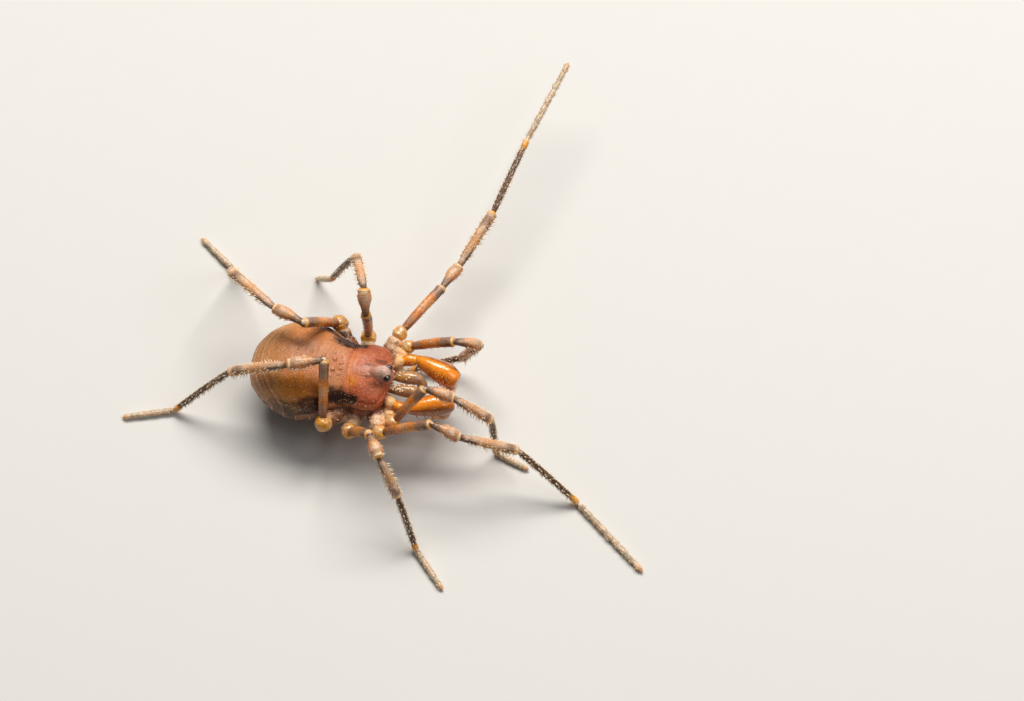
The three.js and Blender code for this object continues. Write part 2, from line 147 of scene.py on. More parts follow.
# Legs from the front: root bead, coxa, lengths of femur, patella, tibia, metatarsus and tarsus,
# and the number of rings in the tarsus
LEGS = {
    1: {"bead": (0.45, 2.03, 0.0), "radius": 0.35, "coxa": (-0.45, 0.45, -0.72), "coxa_radius": 0.42,
        "lengths": (2.6, 1.45, 2.35, 2.7, 1.7), "articles": 4},
    2: {"bead": (-0.08, 2.67, 0.0), "radius": 0.4, "coxa": (-0.95, 0.45, -0.9), "coxa_radius": 0.48,
        "lengths": (3.2, 1.5, 3.2, 4.15, 4.6), "articles": 9},
    3: {"bead": (-1.65, 2.54, -0.74), "radius": 0.4, "coxa": (-1.4, 0.45, -1.1), "coxa_radius": 0.5,
        "lengths": (2.9, 1.35, 2.35, 3.2, 2.3), "articles": 4},
    4: {"bead": (-3.08, 2.67, 0.0), "radius": 0.42, "coxa": (-1.9, 0.65, -1.2), "coxa_radius": 0.68,
        "lengths": (3.35, 1.75, 3.4, 4.25, 2.45), "articles": 4},
}
JOINTS = ("femur", "patella", "tibia", "metatarsus", "tarsus")
# Heading counted from ahead towards the left and pitch upwards, in degrees. A metatarsus with no pitch
# drops to the foot, and a tarsus with none lies along the floor
POSE = {
    "1_left": ((2, 30), (15, -30), (170, -66), (196, None), (190, None)),
    "1_right": ((42, 46), (-2, -18), (-8, -34), (-60, None), (-19, None)),
    "2_left": ((61, -2), (67, -10), (68, 10), (76, 6), (74, 1)),
    "2_right": ((1, 38), (-8, -23), (9, -28), (-21, None), (-39, None)),
    "3_left": ((-108, 88), (105, 50), (111, -22), (-175, -66), (140, None)),
    "3_right": ((-38, 56), (-60, 7), (-45, -50), (-54, None), (-48, None)),
    "4_left": ((-134, 53), (156, -13), (143, -16), (100, None), (143, None)),
    "4_right": ((97, 48), (-165, -6), (-178, -31), (-156, None), (-162, None)),
}
# How far a bead has swung on its coxa, away from the mirror place of the other side's
BEAD_SWING = {"4_right": (0.2, 0.0, 0.0)}
# How deep a femur starts in its bead, and how high a foot's axis is at its root and at its toe
ROOT_SINK = 0.12
FOOT_AXIS_HEIGHT = 0.18
TOE_HEIGHT = 0.135
# Radius along each leg joint, as share of its length and millimetres
OUTLINES = {
    "femur": ((0, 0.18), (0.05, 0.19), (0.13, 0.215), (0.4, 0.235), (0.75, 0.245), (0.94, 0.24),
              (0.955, 0.25), (0.985, 0.24), (1, 0.2)),
    "patella": ((0, 0.17), (0.06, 0.165), (0.2, 0.18), (0.38, 0.22), (0.56, 0.285), (0.74, 0.305),
                (0.87, 0.28), (0.935, 0.262), (0.955, 0.28), (0.985, 0.27), (1, 0.21)),
    "tibia": ((0, 0.155), (0.04, 0.15), (0.1, 0.18), (0.3, 0.21), (0.55, 0.22), (0.8, 0.235),
              (0.945, 0.23), (0.958, 0.248), (0.985, 0.24), (1, 0.19)),
    "metatarsus": ((0, 0.14), (0.03, 0.13), (0.07, 0.15), (0.3, 0.15), (0.7, 0.142), (0.86, 0.145),
                   (0.875, 0.12), (0.89, 0.15), (0.93, 0.165), (0.985, 0.155), (1, 0.115)),
}
TARSUS_RADII = (0.125, 0.145, 0.14, 0.115)
# How far each joint bows upwards in its middle
LEG_BOWS = {"femur": 0.09, "patella": 0.06, "tibia": 0.05, "metatarsus": 0.07, "tarsus": 0.0}
# Fullness of the bead and of the patella on each leg
BEAD_SWELL = {1: 0.96, 2: 0.88, 3: 0.96, 4: 0.98}
PATELLA_SWELL = {1: 1.0, 2: 1.0, 3: 1.15, 4: 1.02}

# Camera of the photograph: its picture in pixels, the pixel of the animal's own origin, the millimetres of
# one pixel there, and the camera's turn, height above the floor and distance
PHOTO_WIDTH = 1024
PHOTO_HEIGHT = 701
ORIGIN_PIXEL = (391.8, 383.0)
PIXEL = 0.0483
CAMERA_TURN = math.radians(10)
CAMERA_HEIGHT = math.radians(66)
CAMERA_PIXELS_AWAY = 4557
SENSOR = 36.0
# How far the lights are from the animal, in metres
LIGHT_DISTANCE = 0.3


def frame_origin():
    """Where the animal's own origin is in the frame: behind the middle of its eyes."""
    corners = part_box("eye_left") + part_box("eye_right")
    middle = sum(corners, Vector()) / len(corners)
    return Vector((middle.x - EYE["x"] * MM, middle.y, TROCHANTER_HEIGHT * MM))


ORIGIN = frame_origin()
TO_FRAME = Matrix.Translation(ORIGIN) @ Matrix.Diagonal((MM, MM, MM, 1.0))
SIDES = ((1, "left"), (-1, "right"))


class HarvestmanSizes(bpy.types.PropertyGroup):
    """Sizes of the fine surface"""

    granule: FloatProperty(
        name="Granule", description="Radius of the pale granules on the shell",
        default=0.028 * MM, min=0.0, unit="LENGTH", precision=6)
    peg: FloatProperty(
        name="Peg", description="Length of the stout pegs in rows along the legs",
        default=0.22 * MM, min=0.0, unit="LENGTH", precision=6)
    seta: FloatProperty(
        name="Seta", description="Length of the fine hairs on the feet",
        default=0.17 * MM, min=0.0, unit="LENGTH", precision=6)
    seta_radius: FloatProperty(
        name="Seta radius", description="Radius of a hair at its root",
        default=0.014 * MM, min=0.0, unit="LENGTH", precision=6)
    relief: FloatProperty(
        name="Relief", description="Depth of the fine grain in the shell",
        default=0.014 * MM, min=0.0, unit="LENGTH", precision=6)


def colour(name, what, value):
    return FloatVectorProperty(
        name=name, description=what, subtype="COLOR", size=3, min=0.0, max=1.0, default=value)


class HarvestmanColours(bpy.types.PropertyGroup):
    """Colours of shell, joints and hairs"""

    shield: colour("Shield", "Pinkish brown of the back", (0.64, 0.25, 0.1))
    rose: colour("Rose", "Pinkish red of the carapace", (0.55, 0.14, 0.058))
    # brick is also laid as painted shade towards the carapace's sides
    brick: colour("Brick", "Deeper red of the carapace's blotches", (0.42, 0.075, 0.025))
    dusk: colour("Dusk", "Greyish brown smudges and mottling", (0.36, 0.185, 0.1))
    groove: colour("Groove", "Salmon of the groove behind the carapace", (0.78, 0.29, 0.13))
    flank: colour("Flank", "Orange-brown beside the middle of the back", (0.62, 0.19, 0.012))
    # umber is also laid as painted shadow round the feet of the warts
    umber: colour("Umber", "Near-black patches and margins", (0.03, 0.009, 0.004))
    edge: colour("Edge", "Pale edges of the hind plates", (0.88, 0.6, 0.38))
    cream: colour("Cream", "Coxae and rims of the leg joints", (0.95, 0.72, 0.47))
    amber: colour("Amber", "Root beads", (0.95, 0.4, 0.035))
    ember: colour("Ember", "Clear orange of pedipalps and leg joints", (0.86, 0.25, 0.008))
    rust: colour("Rust", "Red-brown of the femora", (0.5, 0.13, 0.015))
    bark: colour("Bark", "Dark brown ends of the leg joints", (0.11, 0.042, 0.012))
    ash: colour("Ash", "Grey-brown of tibia and metatarsus", (0.42, 0.25, 0.15))
    blush: colour("Blush", "Pinkish tan of the patellae", (0.85, 0.42, 0.18))
    # painted highlight: pale pinkish grey glare laid on top of the leg joints
    painted_glare: colour("Glare", "Pale pinkish grey on top of the leg joints", (0.9, 0.6, 0.4))
    bone: colour("Bone", "Pale cream of the tarsi", (0.86, 0.72, 0.5))
    horn: colour("Horn", "Glossy brown of the chelicerae and the hind end", (0.56, 0.28, 0.06))
    # greyish pink of the mound, partly painted highlight on its top, also laid on the carapace's saddle
    slate: colour("Slate", "Greyish pink of the eye mound", (0.72, 0.46, 0.37))
    black: colour("Black", "Eyes", (0.004, 0.0035, 0.004))
    hair: colour("Hair", "Pale hairs and granules", (0.92, 0.78, 0.55))


class HarvestmanStage(bpy.types.PropertyGroup):
    """Floor and light"""

    floor: colour("Floor", "Pale floor", (0.63, 0.62, 0.595))
    key: FloatProperty(
        name="Key light", description="Power of the soft light above the animal's left",
        default=1.38, min=0.0, unit="POWER")
    rim: FloatProperty(
        name="Side light", description="Power of the small light that draws the long highlights",
        default=0.22, min=0.0, unit="POWER")
    sky: FloatProperty(
        name="Sky", description="Strength of the even light from all round", default=0.1, min=0.0)


def sizes():
    return bpy.context.scene.harvestman_sizes


def shade(name):
    return (*getattr(bpy.context.scene.harvestman_colours, name), 1.0)


def clamp(value, low, high):
    return max(low, min(high, value))


def bell(distance, width):
    """1 at no distance, falling smoothly to nearly 0 at twice the width."""
    return math.exp(-(distance / width) ** 2)


def ease(value, low, high):
    """A smooth passage from 0 at low to 1 at high, where low may be the greater."""
    share = clamp((value - low) / (high - low), 0.0, 1.0)
    return share * share * (3 - 2 * share)


def bowed(value, power):
    """A power that keeps the sign, which squares up a circle's sine and cosine."""
    return math.copysign(abs(value) ** power, value)


def mirrored(point, side):
    """A place on the left, or where side is -1 its mirror place on the right."""
    return Vector((point[0], side * point[1], point[2]))


def aimed(heading, pitch):
    """The way in which a heading and a pitch in degrees point."""
    heading, pitch = math.radians(heading), math.radians(pitch)
    return Vector((
        math.cos(pitch) * math.cos(heading), math.cos(pitch) * math.sin(heading), math.sin(pitch)))


def through(values, share):
    """A smooth curve through numbers at even steps, at a share of the whole."""
    place = clamp(share, 0.0, 1.0) * (len(values) - 1)
    i = min(int(place), len(values) - 2)
    t = place - i
    a, b = values[max(i - 1, 0)], values[i]
    c, d = values[i + 1], values[min(i + 2, len(values) - 1)]
    lean_b, lean_c = (c - a) * 0.5, (d - b) * 0.5
    return ((2 * b - 2 * c + lean_b + lean_c) * t ** 3
            + (-3 * b + 3 * c - 2 * lean_b - lean_c) * t ** 2 + lean_b * t + b)


def cut_corners(points):
    """Rounds a line of points by cutting its corners twice."""
    for _ in range(2):
        cut = [points[0]]
        for a, b in zip(points, points[1:]):
            cut += [a.lerp(b, 0.25), a.lerp(b, 0.75)]
        points = cut + [points[-1]]
    return points


def travelled(points):
    """Distance along a line of points, at each of them."""
    total = [0.0]
    for a, b in zip(points, points[1:]):
        total.append(total[-1] + (b - a).length)
    return total


def at_distance(points, totals, distance):
    """The point at a distance along a line, which runs on straight past its ends."""
    i = clamp(bisect.bisect_right(totals, distance) - 1, 0, len(points) - 2)
    span = max(totals[i + 1] - totals[i], 1e-9)
    return points[i] + (points[i + 1] - points[i]) * ((distance - totals[i]) / span)


class Limb:
    """A path with a radius along it. up is the side that faces away from the belly, and tip is how far
    the closed end reaches past the path, as a share of its last radius."""

    STEPS = 16

    def __init__(self, points, outline, up, tip=0.5):
        points = [Vector(p) for p in points]
        count = (len(points) - 1) * self.STEPS
        self.path = [
            Vector([through([p[axis] for p in points], i / count) for axis in range(3)])
            for i in range(count + 1)]
        self.totals = travelled(self.path)
        self.length = self.totals[-1]
        self.ups = []
        for a, b in zip(self.path, self.path[1:]):
            line = (b - a).normalized()
            up = (up - line * up.dot(line)).normalized()
            self.ups.append(up)
        rows = [Vector((share * self.length, radius)) for share, radius in outline]
        first, last = rows[0].y, rows[-1].y
        root = [Vector((-first, 0)), Vector((-first, first * 0.6)), Vector((-first * 0.5, first))]
        end = self.length + last * tip
        close = [Vector((end, last * 0.7)), Vector((end, 0))]
        self.profile = cut_corners(root + rows + close)
        self.profile_totals = travelled(self.profile)

    def frame(self, distance):
        """The point at a distance along the path, and the ways along, up and sideways there."""
        i = clamp(bisect.bisect_right(self.totals, distance) - 1, 0, len(self.path) - 2)
        line = (self.path[i + 1] - self.path[i]).normalized()
        up = self.ups[i]
        return at_distance(self.path, self.totals, distance), line, up, line.cross(up)

    def radius(self, distance):
        for a, b in zip(self.profile, self.profile[1:]):
            if a.x <= distance <= b.x and b.x > a.x:
                return a.y + (b.y - a.y) * (distance - a.x) / (b.x - a.x)
        return 0.0

    def skin(self, distance, around):
        """A place on the skin: the point, the way out and the way along."""
        centre, line, up, side = self.frame(distance)
        out = up * math.cos(around) + side * math.sin(around)
        return centre + out * self.radius(distance), out.normalized(), line


def float_layer(bm, name):
    """A value on each corner, which materials read as an attribute."""
    layers = bm.verts.layers.float
    return layers.get(name) or layers.new(name)


def add_form(bm, sides, rings, place, material=0):
    """Adds a ball of rings and sides whose corners move to place(ring, around). Returns its corners."""
    along_layer = float_layer(bm, "along")
    top_layer = float_layer(bm, "topside")
    made = bmesh.ops.create_uvsphere(bm, u_segments=sides, v_segments=rings, radius=1.0)["verts"]
    for vert in made:
        ring = round(math.acos(clamp(vert.co.z, -1.0, 1.0)) / math.pi * rings)
        around = math.atan2(vert.co.y, vert.co.x)
        vert.co, vert[along_layer] = place(ring, around)
        vert[top_layer] = math.cos(around)
    faces = list({face for vert in made for face in vert.link_faces})
    for face in faces:
        face.material_index = material
        face.smooth = True
    bm.normal_update()
    bmesh.ops.recalc_face_normals(bm, faces=faces)
    return made


def add_limb(bm, limb, sides, step, material=0, swell=None):
    """Adds a limb's skin with a ring at each step. swell(share, around) scales its radius."""
    total = limb.profile_totals[-1]
    rings = max(int(total / step), 8)
    rows = [at_distance(limb.profile, limb.profile_totals, total * i / rings) for i in range(rings + 1)]

    def place(ring, around):
        distance, radius = rows[ring]
        share = clamp(distance / limb.length, 0.0, 1.0)
        if swell:
            radius *= swell(share, around)
        centre, _, up, side = limb.frame(distance)
        return centre + (up * math.cos(around) + side * math.sin(around)) * radius, share

    return add_form(bm, sides, rings, place, material)


def add_ball(bm, centre, radius, sides, material=0):
    """Adds a ball whose corners know how high up on it they are."""
    rings = sides * 2 // 3

    def place(ring, around):
        angle = math.pi * ring / rings
        reach = radius * math.sin(angle)
        way = Vector((reach * math.sin(around), reach * math.cos(around), radius * math.cos(angle)))
        return centre + way, ring / rings

    ball = add_form(bm, sides, rings, place, material)
    top = float_layer(bm, "topside")
    for vert in ball:
        vert[top] = (vert.co.z - centre.z) / radius
    return ball


# How a spine or claw narrows: share of its length and of the radius of its root
HORN_OUTLINE = ((0, 1), (0.3, 0.72), (0.6, 0.45), (0.9, 0.16), (1, 0.05))


def add_horn(bm, root, aim, bend, length, radius, material, sides, rings):
    """Adds a spine or claw that curves from its aim towards its bend."""
    middle = root + aim * length * 0.55 + bend * length * 0.12
    tip = root + aim * length + bend * length * 0.5
    outline = [(share, radius * width) for share, width in HORN_OUTLINE]
    up = bend if bend.length > 0 else aim.orthogonal()
    limb = Limb([root, middle, tip], outline, up.normalized())
    return add_limb(bm, limb, sides, limb.profile_totals[-1] / rings, material)


def emboss(bm, verts, depth):
    """Moves each corner along its normal by depth(corner)."""
    bm.normal_update()
    moves = [(vert, vert.normal * depth(vert)) for vert in verts]
    for vert, move in moves:
        vert.co += move


def grain(co, spacing):
    """Rounded grains set close, from 0 between them to 1 on top."""
    near = noise.voronoi(co / spacing)[0][0]
    return 1.0 - ease(near, 0.05, 0.55)


def finish_piece(bm, name, finishes, replaced):
    """Turns a millimetre mesh into a piece of the model, at its place in the frame."""
    bm.transform(TO_FRAME)
    mesh = bpy.data.meshes.new(name)
    bm.to_mesh(mesh)
    bm.free()
    if not mesh.polygons:
        raise RuntimeError(f"{name} came out empty")
    return place_piece(mesh, name, finishes, replaced)


def place_piece(mesh, name, finishes, replaced):
    """Adds a mesh that is in the frame already, with its finishes in the order of its material numbers."""
    for label in finishes:
        mesh.materials.append(finish(label))
    piece = bpy.data.objects.new(name, mesh)
    bpy.context.scene.collection.objects.link(piece)
    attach(piece, "root")
    if replaced:
        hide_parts(*replaced)
    return piece


# Node trees
def put(tree, kind, inputs=None, **settings):
    """Adds a node. Each input is a constant or another node's output."""
    node = tree.nodes.new(kind)
    for name, value in settings.items():
        setattr(node, name, value)
    for name, value in (inputs or {}).items():
        socket = node.inputs[name]
        if isinstance(value, bpy.types.NodeSocket):
            tree.links.new(value, socket)
        else:
            socket.default_value = value
    return node


def maths(tree, operation, a, b=0.0):
    return put(tree, "ShaderNodeMath", {0: a, 1: b}, operation=operation).outputs[0]


def times(tree, a, b):
    return maths(tree, "MULTIPLY", a, b)


def plus(tree, a, b):
    return maths(tree, "ADD", a, b)


def mixed(tree, share, a, b):
    """A colour between two. Sockets 6 and 7 of a Mix node are its colours, and output 2 their mixture."""
    return put(tree, "ShaderNodeMix", {0: share, 6: a, 7: b}, data_type="RGBA").outputs[2]


def ranged(tree, value, low, high, to_low=0.0, to_high=1.0):
    """A smooth passage between two results as a value goes from low to high."""
    return put(tree, "ShaderNodeMapRange", {
        "Value": value, "From Min": low, "From Max": high, "To Min": to_low, "To Max": to_high,
    }, interpolation_type="SMOOTHSTEP").outputs[0]


def banded(tree, value, stops):
    """A colour ramp from pairs of place and colour."""
    node = put(tree, "ShaderNodeValToRGB", {"Fac": value})
    elements = node.color_ramp.elements
    while len(elements) > 1:
        elements.remove(elements[-1])
    elements[0].position, elements[0].color = stops[0]
    for position, tint in stops[1:]:
        elements.new(position).color = tint
    return node.outputs["Color"]


def group_tree(name, inputs, outputs):
    """An empty shader node group, and the sockets that it is given and gives."""
    tree = bpy.data.node_groups.new(name, "ShaderNodeTree")
    for label, kind, default in inputs:
        socket = tree.interface.new_socket(name=label, in_out="INPUT", socket_type=kind)
        if default is not None:
            socket.default_value = default
    for label, kind in outputs:
        tree.interface.new_socket(name=label, in_out="OUTPUT", socket_type=kind)
    given = tree.nodes.new("NodeGroupInput").outputs
    result = tree.nodes.new("NodeGroupOutput").inputs
    return tree, given, result


def shell_grain_group():
    """Fine granules, pits between them and slow mottling, as the whole shell has."""
    tree, given, result = group_tree(
        "Shell grain",
        [("Place", "NodeSocketVector", None), ("Grains per mm", "NodeSocketFloat", 14.0),
         ("Unevenness", "NodeSocketFloat", 0.5)],
        [("Height", "NodeSocketFloat"), ("Pits", "NodeSocketFloat"), ("Mottle", "NodeSocketFloat"),
         ("Specks", "NodeSocketFloat")])
    warp = put(tree, "ShaderNodeTexNoise", {"Vector": given["Place"], "Scale": 3.0, "Detail": 2.0})
    cells = put(tree, "ShaderNodeTexVoronoi", {
        "Vector": given["Place"], "Scale": given["Grains per mm"], "Randomness": 0.9})
    fine = put(tree, "ShaderNodeTexNoise", {
        "Vector": given["Place"], "Scale": times(tree, given["Grains per mm"], 1.7),
        "Detail": 3.0, "Roughness": 0.6})
    dome = ranged(tree, cells.outputs["Distance"], 0.05, 0.75, 1.0, 0.0)
    blend = times(tree, fine.outputs["Fac"], given["Unevenness"])
    height = plus(tree, dome, blend)
    speck_cells = put(tree, "ShaderNodeTexVoronoi", {"Vector": given["Place"], "Scale": 5.0})
    speck = ranged(tree, speck_cells.outputs["Distance"], 0.1, 0.2, 1.0, 0.0)
    mottle = put(tree, "ShaderNodeTexNoise", {
        "Vector": given["Place"], "Scale": 1.6, "Detail": 5.0, "Roughness": 0.62, "Distortion": 0.6})
    uneven = plus(tree, times(tree, warp.outputs["Fac"], 0.35),
                   times(tree, mottle.outputs["Fac"], 0.65))
    pits = maths(tree, "SUBTRACT", 1.0, dome)
    for label, socket in (("Height", height), ("Pits", pits), ("Mottle", uneven), ("Specks", speck)):
        tree.links.new(socket, result[label])
    return tree


def patch_group():
    """A soft oval patch about a place, from 0 outside it to 1 in its middle."""
    tree, given, result = group_tree(
        "Soft patch",
        [("Place", "NodeSocketVector", None), ("Centre", "NodeSocketVector", None),
         ("Reach", "NodeSocketVector", None), ("Ragged", "NodeSocketFloat", 0.3)],
        [("Mask", "NodeSocketFloat")])
    wobble = put(tree, "ShaderNodeTexNoise", {"Vector": given["Place"], "Scale": 2.4, "Detail": 4.0})
    offset = put(tree, "ShaderNodeVectorMath", {
        0: given["Place"], 1: given["Centre"]}, operation="SUBTRACT")
    scaled = put(tree, "ShaderNodeVectorMath", {
        0: offset.outputs[0], 1: given["Reach"]}, operation="DIVIDE")
    far = put(tree, "ShaderNodeVectorMath", {0: scaled.outputs[0]}, operation="LENGTH").outputs["Value"]
    shift = times(tree, maths(tree, "SUBTRACT", wobble.outputs["Fac"], 0.5), given["Ragged"])
    mask = ranged(tree, plus(tree, far, times(tree, shift, 3.0)), 0.35, 1.0, 1.0, 0.0)
    tree.links.new(mask, result["Mask"])
    return tree


def line_group():
    """A thin line at one value of a coordinate, 1 on it and 0 past its width."""
    tree, given, result = group_tree(
        "Line",
        [("Value", "NodeSocketFloat", 0.0), ("At", "NodeSocketFloat", 0.0),
         ("Width", "NodeSocketFloat", 0.1)],
        [("Mask", "NodeSocketFloat")])
    away = maths(tree, "ABSOLUTE", maths(tree, "SUBTRACT", given["Value"], given["At"]))
    mask = ranged(tree, maths(tree, "DIVIDE", away, given["Width"]), 0.2, 1.0, 1.0, 0.0)
    tree.links.new(mask, result["Mask"])
    return tree


def use_group(tree, name, maker, inputs):
    """Adds a shared node group, made once and found after that, and gives its outputs."""
    group = bpy.data.node_groups.get(name) or maker()
    return put(tree, "ShaderNodeGroup", inputs, node_tree=group).outputs


def patch(tree, place, centre, reach, ragged):
    return use_group(tree, "Soft patch", patch_group, {
        "Place": place, "Centre": centre, "Reach": reach, "Ragged": ragged})["Mask"]


def line(tree, value, at, width):
    return use_group(tree, "Line", line_group, {"Value": value, "At": at, "Width": width})["Mask"]


# How deep light goes into a shell, in millimetres, and the share of it for red, green and blue
GLOW_DEPTH = 0.35
GLOW_TINT = (1.0, 0.35, 0.12)


def empty_material(name):
    material = bpy.data.materials.new(name)
    material.use_nodes = True
    material.node_tree.nodes.clear()
    return material, material.node_tree


def shell_material(name, paint, grains, roughness, coat, glow, relief=1.0, gloss_spread=0.2,
                   coat_roughness=0.18, specular=0.45):
    """A shell finish. paint(tree, place, split, grain) gives its colour in the animal's own millimetres."""
    material, tree = empty_material(name)
    where = put(tree, "ShaderNodeTexCoord").outputs["Object"]
    place = put(tree, "ShaderNodeMapping", {
        "Vector": where, "Location": -ORIGIN / MM, "Scale": (1 / MM,) * 3}).outputs["Vector"]
    split = put(tree, "ShaderNodeSeparateXYZ", {"Vector": place}).outputs
    grain_out = use_group(tree, "Shell grain", shell_grain_group, {
        "Place": place, "Grains per mm": grains, "Unevenness": 0.5})
    base = paint(tree, place, split, grain_out)
    matt = ranged(tree, grain_out["Mottle"], 0.3, 0.7,
                  roughness - gloss_spread / 2, roughness + gloss_spread / 2)
    bump = put(tree, "ShaderNodeBump", {
        "Height": grain_out["Height"], "Strength": 0.8, "Distance": sizes().relief * relief})
    shader = put(tree, "ShaderNodeBsdfPrincipled", {
        "Base Color": base, "Roughness": matt, "Normal": bump.outputs["Normal"],
        "Coat Weight": coat, "Coat Roughness": coat_roughness, "Specular IOR Level": specular,
        "Subsurface Weight": glow, "Subsurface Scale": GLOW_DEPTH * MM, "Subsurface Radius": GLOW_TINT})
    put(tree, "ShaderNodeOutputMaterial", {"Surface": shader.outputs[0]})
    return material


def attribute(tree, name):
    """A value that the mesh carries on its corners."""
    return put(tree, "ShaderNodeAttribute", attribute_name=name).outputs["Fac"]


def laid(tree, base, mask, strength, tint):
    """Lays a tint over a base colour where a mask says, at a strength."""
    return mixed(tree, times(tree, mask, strength), base, tint)


def both(tree, *masks):
    """Where all the masks hold."""
    held = masks[0]
    for mask in masks[1:]:
        held = times(tree, held, mask)
    return held


def cloud(tree, place, scale, low, high):
    """Soft blotches of a size, from 0 to 1."""
    node = put(tree, "ShaderNodeTexNoise", {"Vector": place, "Scale": scale, "Detail": 4.0, "Roughness": 0.6})
    return ranged(tree, node.outputs["Fac"], low, high)


def streaked(tree, along, across, low, high):
    """Fine lines from two coordinates, long in the second."""
    where = put(tree, "ShaderNodeCombineXYZ", {"X": along, "Y": across}).outputs[0]
    node = put(tree, "ShaderNodeTexNoise", {"Vector": where, "Scale": 1.0, "Detail": 2.0})
    return ranged(tree, node.outputs["Fac"], low, high)


# Painted shade between the granules
PIT_SHADE = (0.02, 0.01, 0.006, 1.0)


def speckled(tree, base, grain_out, depth, pale, specks):
    """Painted shade between the granules, and pale on a few of them."""
    dark = laid(tree, base, grain_out["Pits"], depth, PIT_SHADE)
    return laid(tree, dark, grain_out["Specks"], specks, pale)


def netted(tree, place, scale, width, strength):
    """A net of fine threads: its strength on them and 0 past their width."""
    cells = put(tree, "ShaderNodeTexVoronoi", {"Vector": place, "Scale": scale}, feature="DISTANCE_TO_EDGE")
    return ranged(tree, cells.outputs["Distance"], 0.02, width, strength, 0.0)


def left_half(tree, split):
    """The place, with the animal's right half folded over onto its left."""
    across = maths(tree, "ABSOLUTE", split["Y"])
    return put(tree, "ShaderNodeCombineXYZ", {"X": split["X"], "Y": across, "Z": split["Z"]}).outputs[0]


# Dark patches on the left of the back, and weaker darker patches at the foot of the eye mound, which the
# right
# side has too: centre, reach and strength
DARK_PATCHES = (
    ((-2.35, 1.42, 0.7), (1.0, 0.5, 0.9), 0.94), ((-3.7, 2.25, 0.2), (1.3, 0.78, 1.1), 0.96),
    ((-5.0, 2.2, 0.0), (1.2, 0.5, 0.8), 0.85), ((-1.62, 1.42, 0.6), (0.35, 0.3, 0.6), 0.95),
)
MOUND_FOOT_DARKS = (
    ((-1.05, 0.3, 1.0), (0.5, 0.12, 0.4), 0.5), ((-0.6, 0.6, 0.9), (0.5, 0.26, 0.5), 0.6),
)
# Strength of the orange-brown of the flank and of the orange spot at the groove, on each side. The stronger
# colour on the right is painted shade, the weaker colour on the left painted light.
FLANK_STRENGTH = {"left": 0.45, "right": 0.95}
SPOT_STRENGTH = {"left": 0.3, "right": 0.9}
# Fine lines along the hind plates: how close they are ahead and across, how much of the noise they take,
# where they fade in, strength and colour
HIND_LINES = (
    (17.0, 1.5, (0.52, 0.7), (-3.6, -6.0), 0.4, "blush"),
    (23.0, 1.9, (0.5, 0.68), (-3.0, -5.5), 0.28, "umber"),
)


def carapace_paint(tree, place, across):
    """Pinkish red with deeper blotches, greyish smudges, painted shade towards its sides and a paler saddle.
    """
    base = laid(tree, shade("rose"), cloud(tree, place, 2.6, 0.5, 0.68), 0.85, shade("brick"))
    base = laid(tree, base, cloud(tree, place, 3.4, 0.52, 0.66), 0.45, shade("groove"))
    base = laid(tree, base, cloud(tree, place, 1.9, 0.54, 0.7), 0.6, shade("dusk"))
    # painted shade: deeper red towards the carapace's sides
    base = laid(tree, base, ranged(tree, across, 0.5, 1.3), 0.7, shade("brick"))
    saddle = patch(tree, place, (-1.2, 0.0, 1.15), (0.85, 0.36, 0.6), 0.35)
    return laid(tree, base, saddle, 0.4, shade("slate"))


def side_paint(tree, place, base):
    """Orange-brown down each side of the abdomen, stronger on the right as painted shade, then dark patches
    and darker patches at the eye mound's foot. Gives the patches too.
    """
    darks = []
    for side, word in SIDES:
        # orange-brown flank, stronger on the right side as painted shade
        glow = patch(tree, place, mirrored((-4.35, 1.5, 1.2), side), (1.6, 0.95, 1.2), 0.3)
        base = laid(tree, base, glow, FLANK_STRENGTH[word], shade("flank"))
        for centre, reach, strength in DARK_PATCHES:
            darks.append(times(tree, patch(tree, place, mirrored(centre, side), reach, 0.4), strength))
            base = mixed(tree, darks[-1], base, shade("umber"))
        for centre, reach, strength in MOUND_FOOT_DARKS:
            foot_dark = patch(tree, place, mirrored(centre, side), reach, 0.4)
            base = laid(tree, base, foot_dark, strength, shade("umber"))
    return base, darks


def hind_paint(tree, place, base, y, on_midline, mottle):
    """Brown hind end with fine lines along its plates and thin pale edges on them."""
    rear = both(tree, ranged(tree, on_midline, -4.9, -6.0), ranged(tree, mottle, 0.3, 0.55, 0.5, 1.0))
    base = laid(tree, base, rear, 0.4, shade("horn"))
    for ahead, across, taken, fade, strength, name in HIND_LINES:
        lines = streaked(tree, times(tree, on_midline, ahead), times(tree, y, across), *taken)
        base = laid(tree, base, both(tree, lines, ranged(tree, on_midline, *fade)), strength, shade(name))
    wavy = plus(tree, on_midline, times(tree, mottle, 0.05))
    for edge, strength in zip(PLATE_EDGES, PLATE_MARKS):
        mark = both(tree, line(tree, wavy, edge + 0.045, 0.028), cloud(tree, place, 5.0, 0.3, 0.5))
        base = laid(tree, base, mark, strength, shade("edge"))
    return base


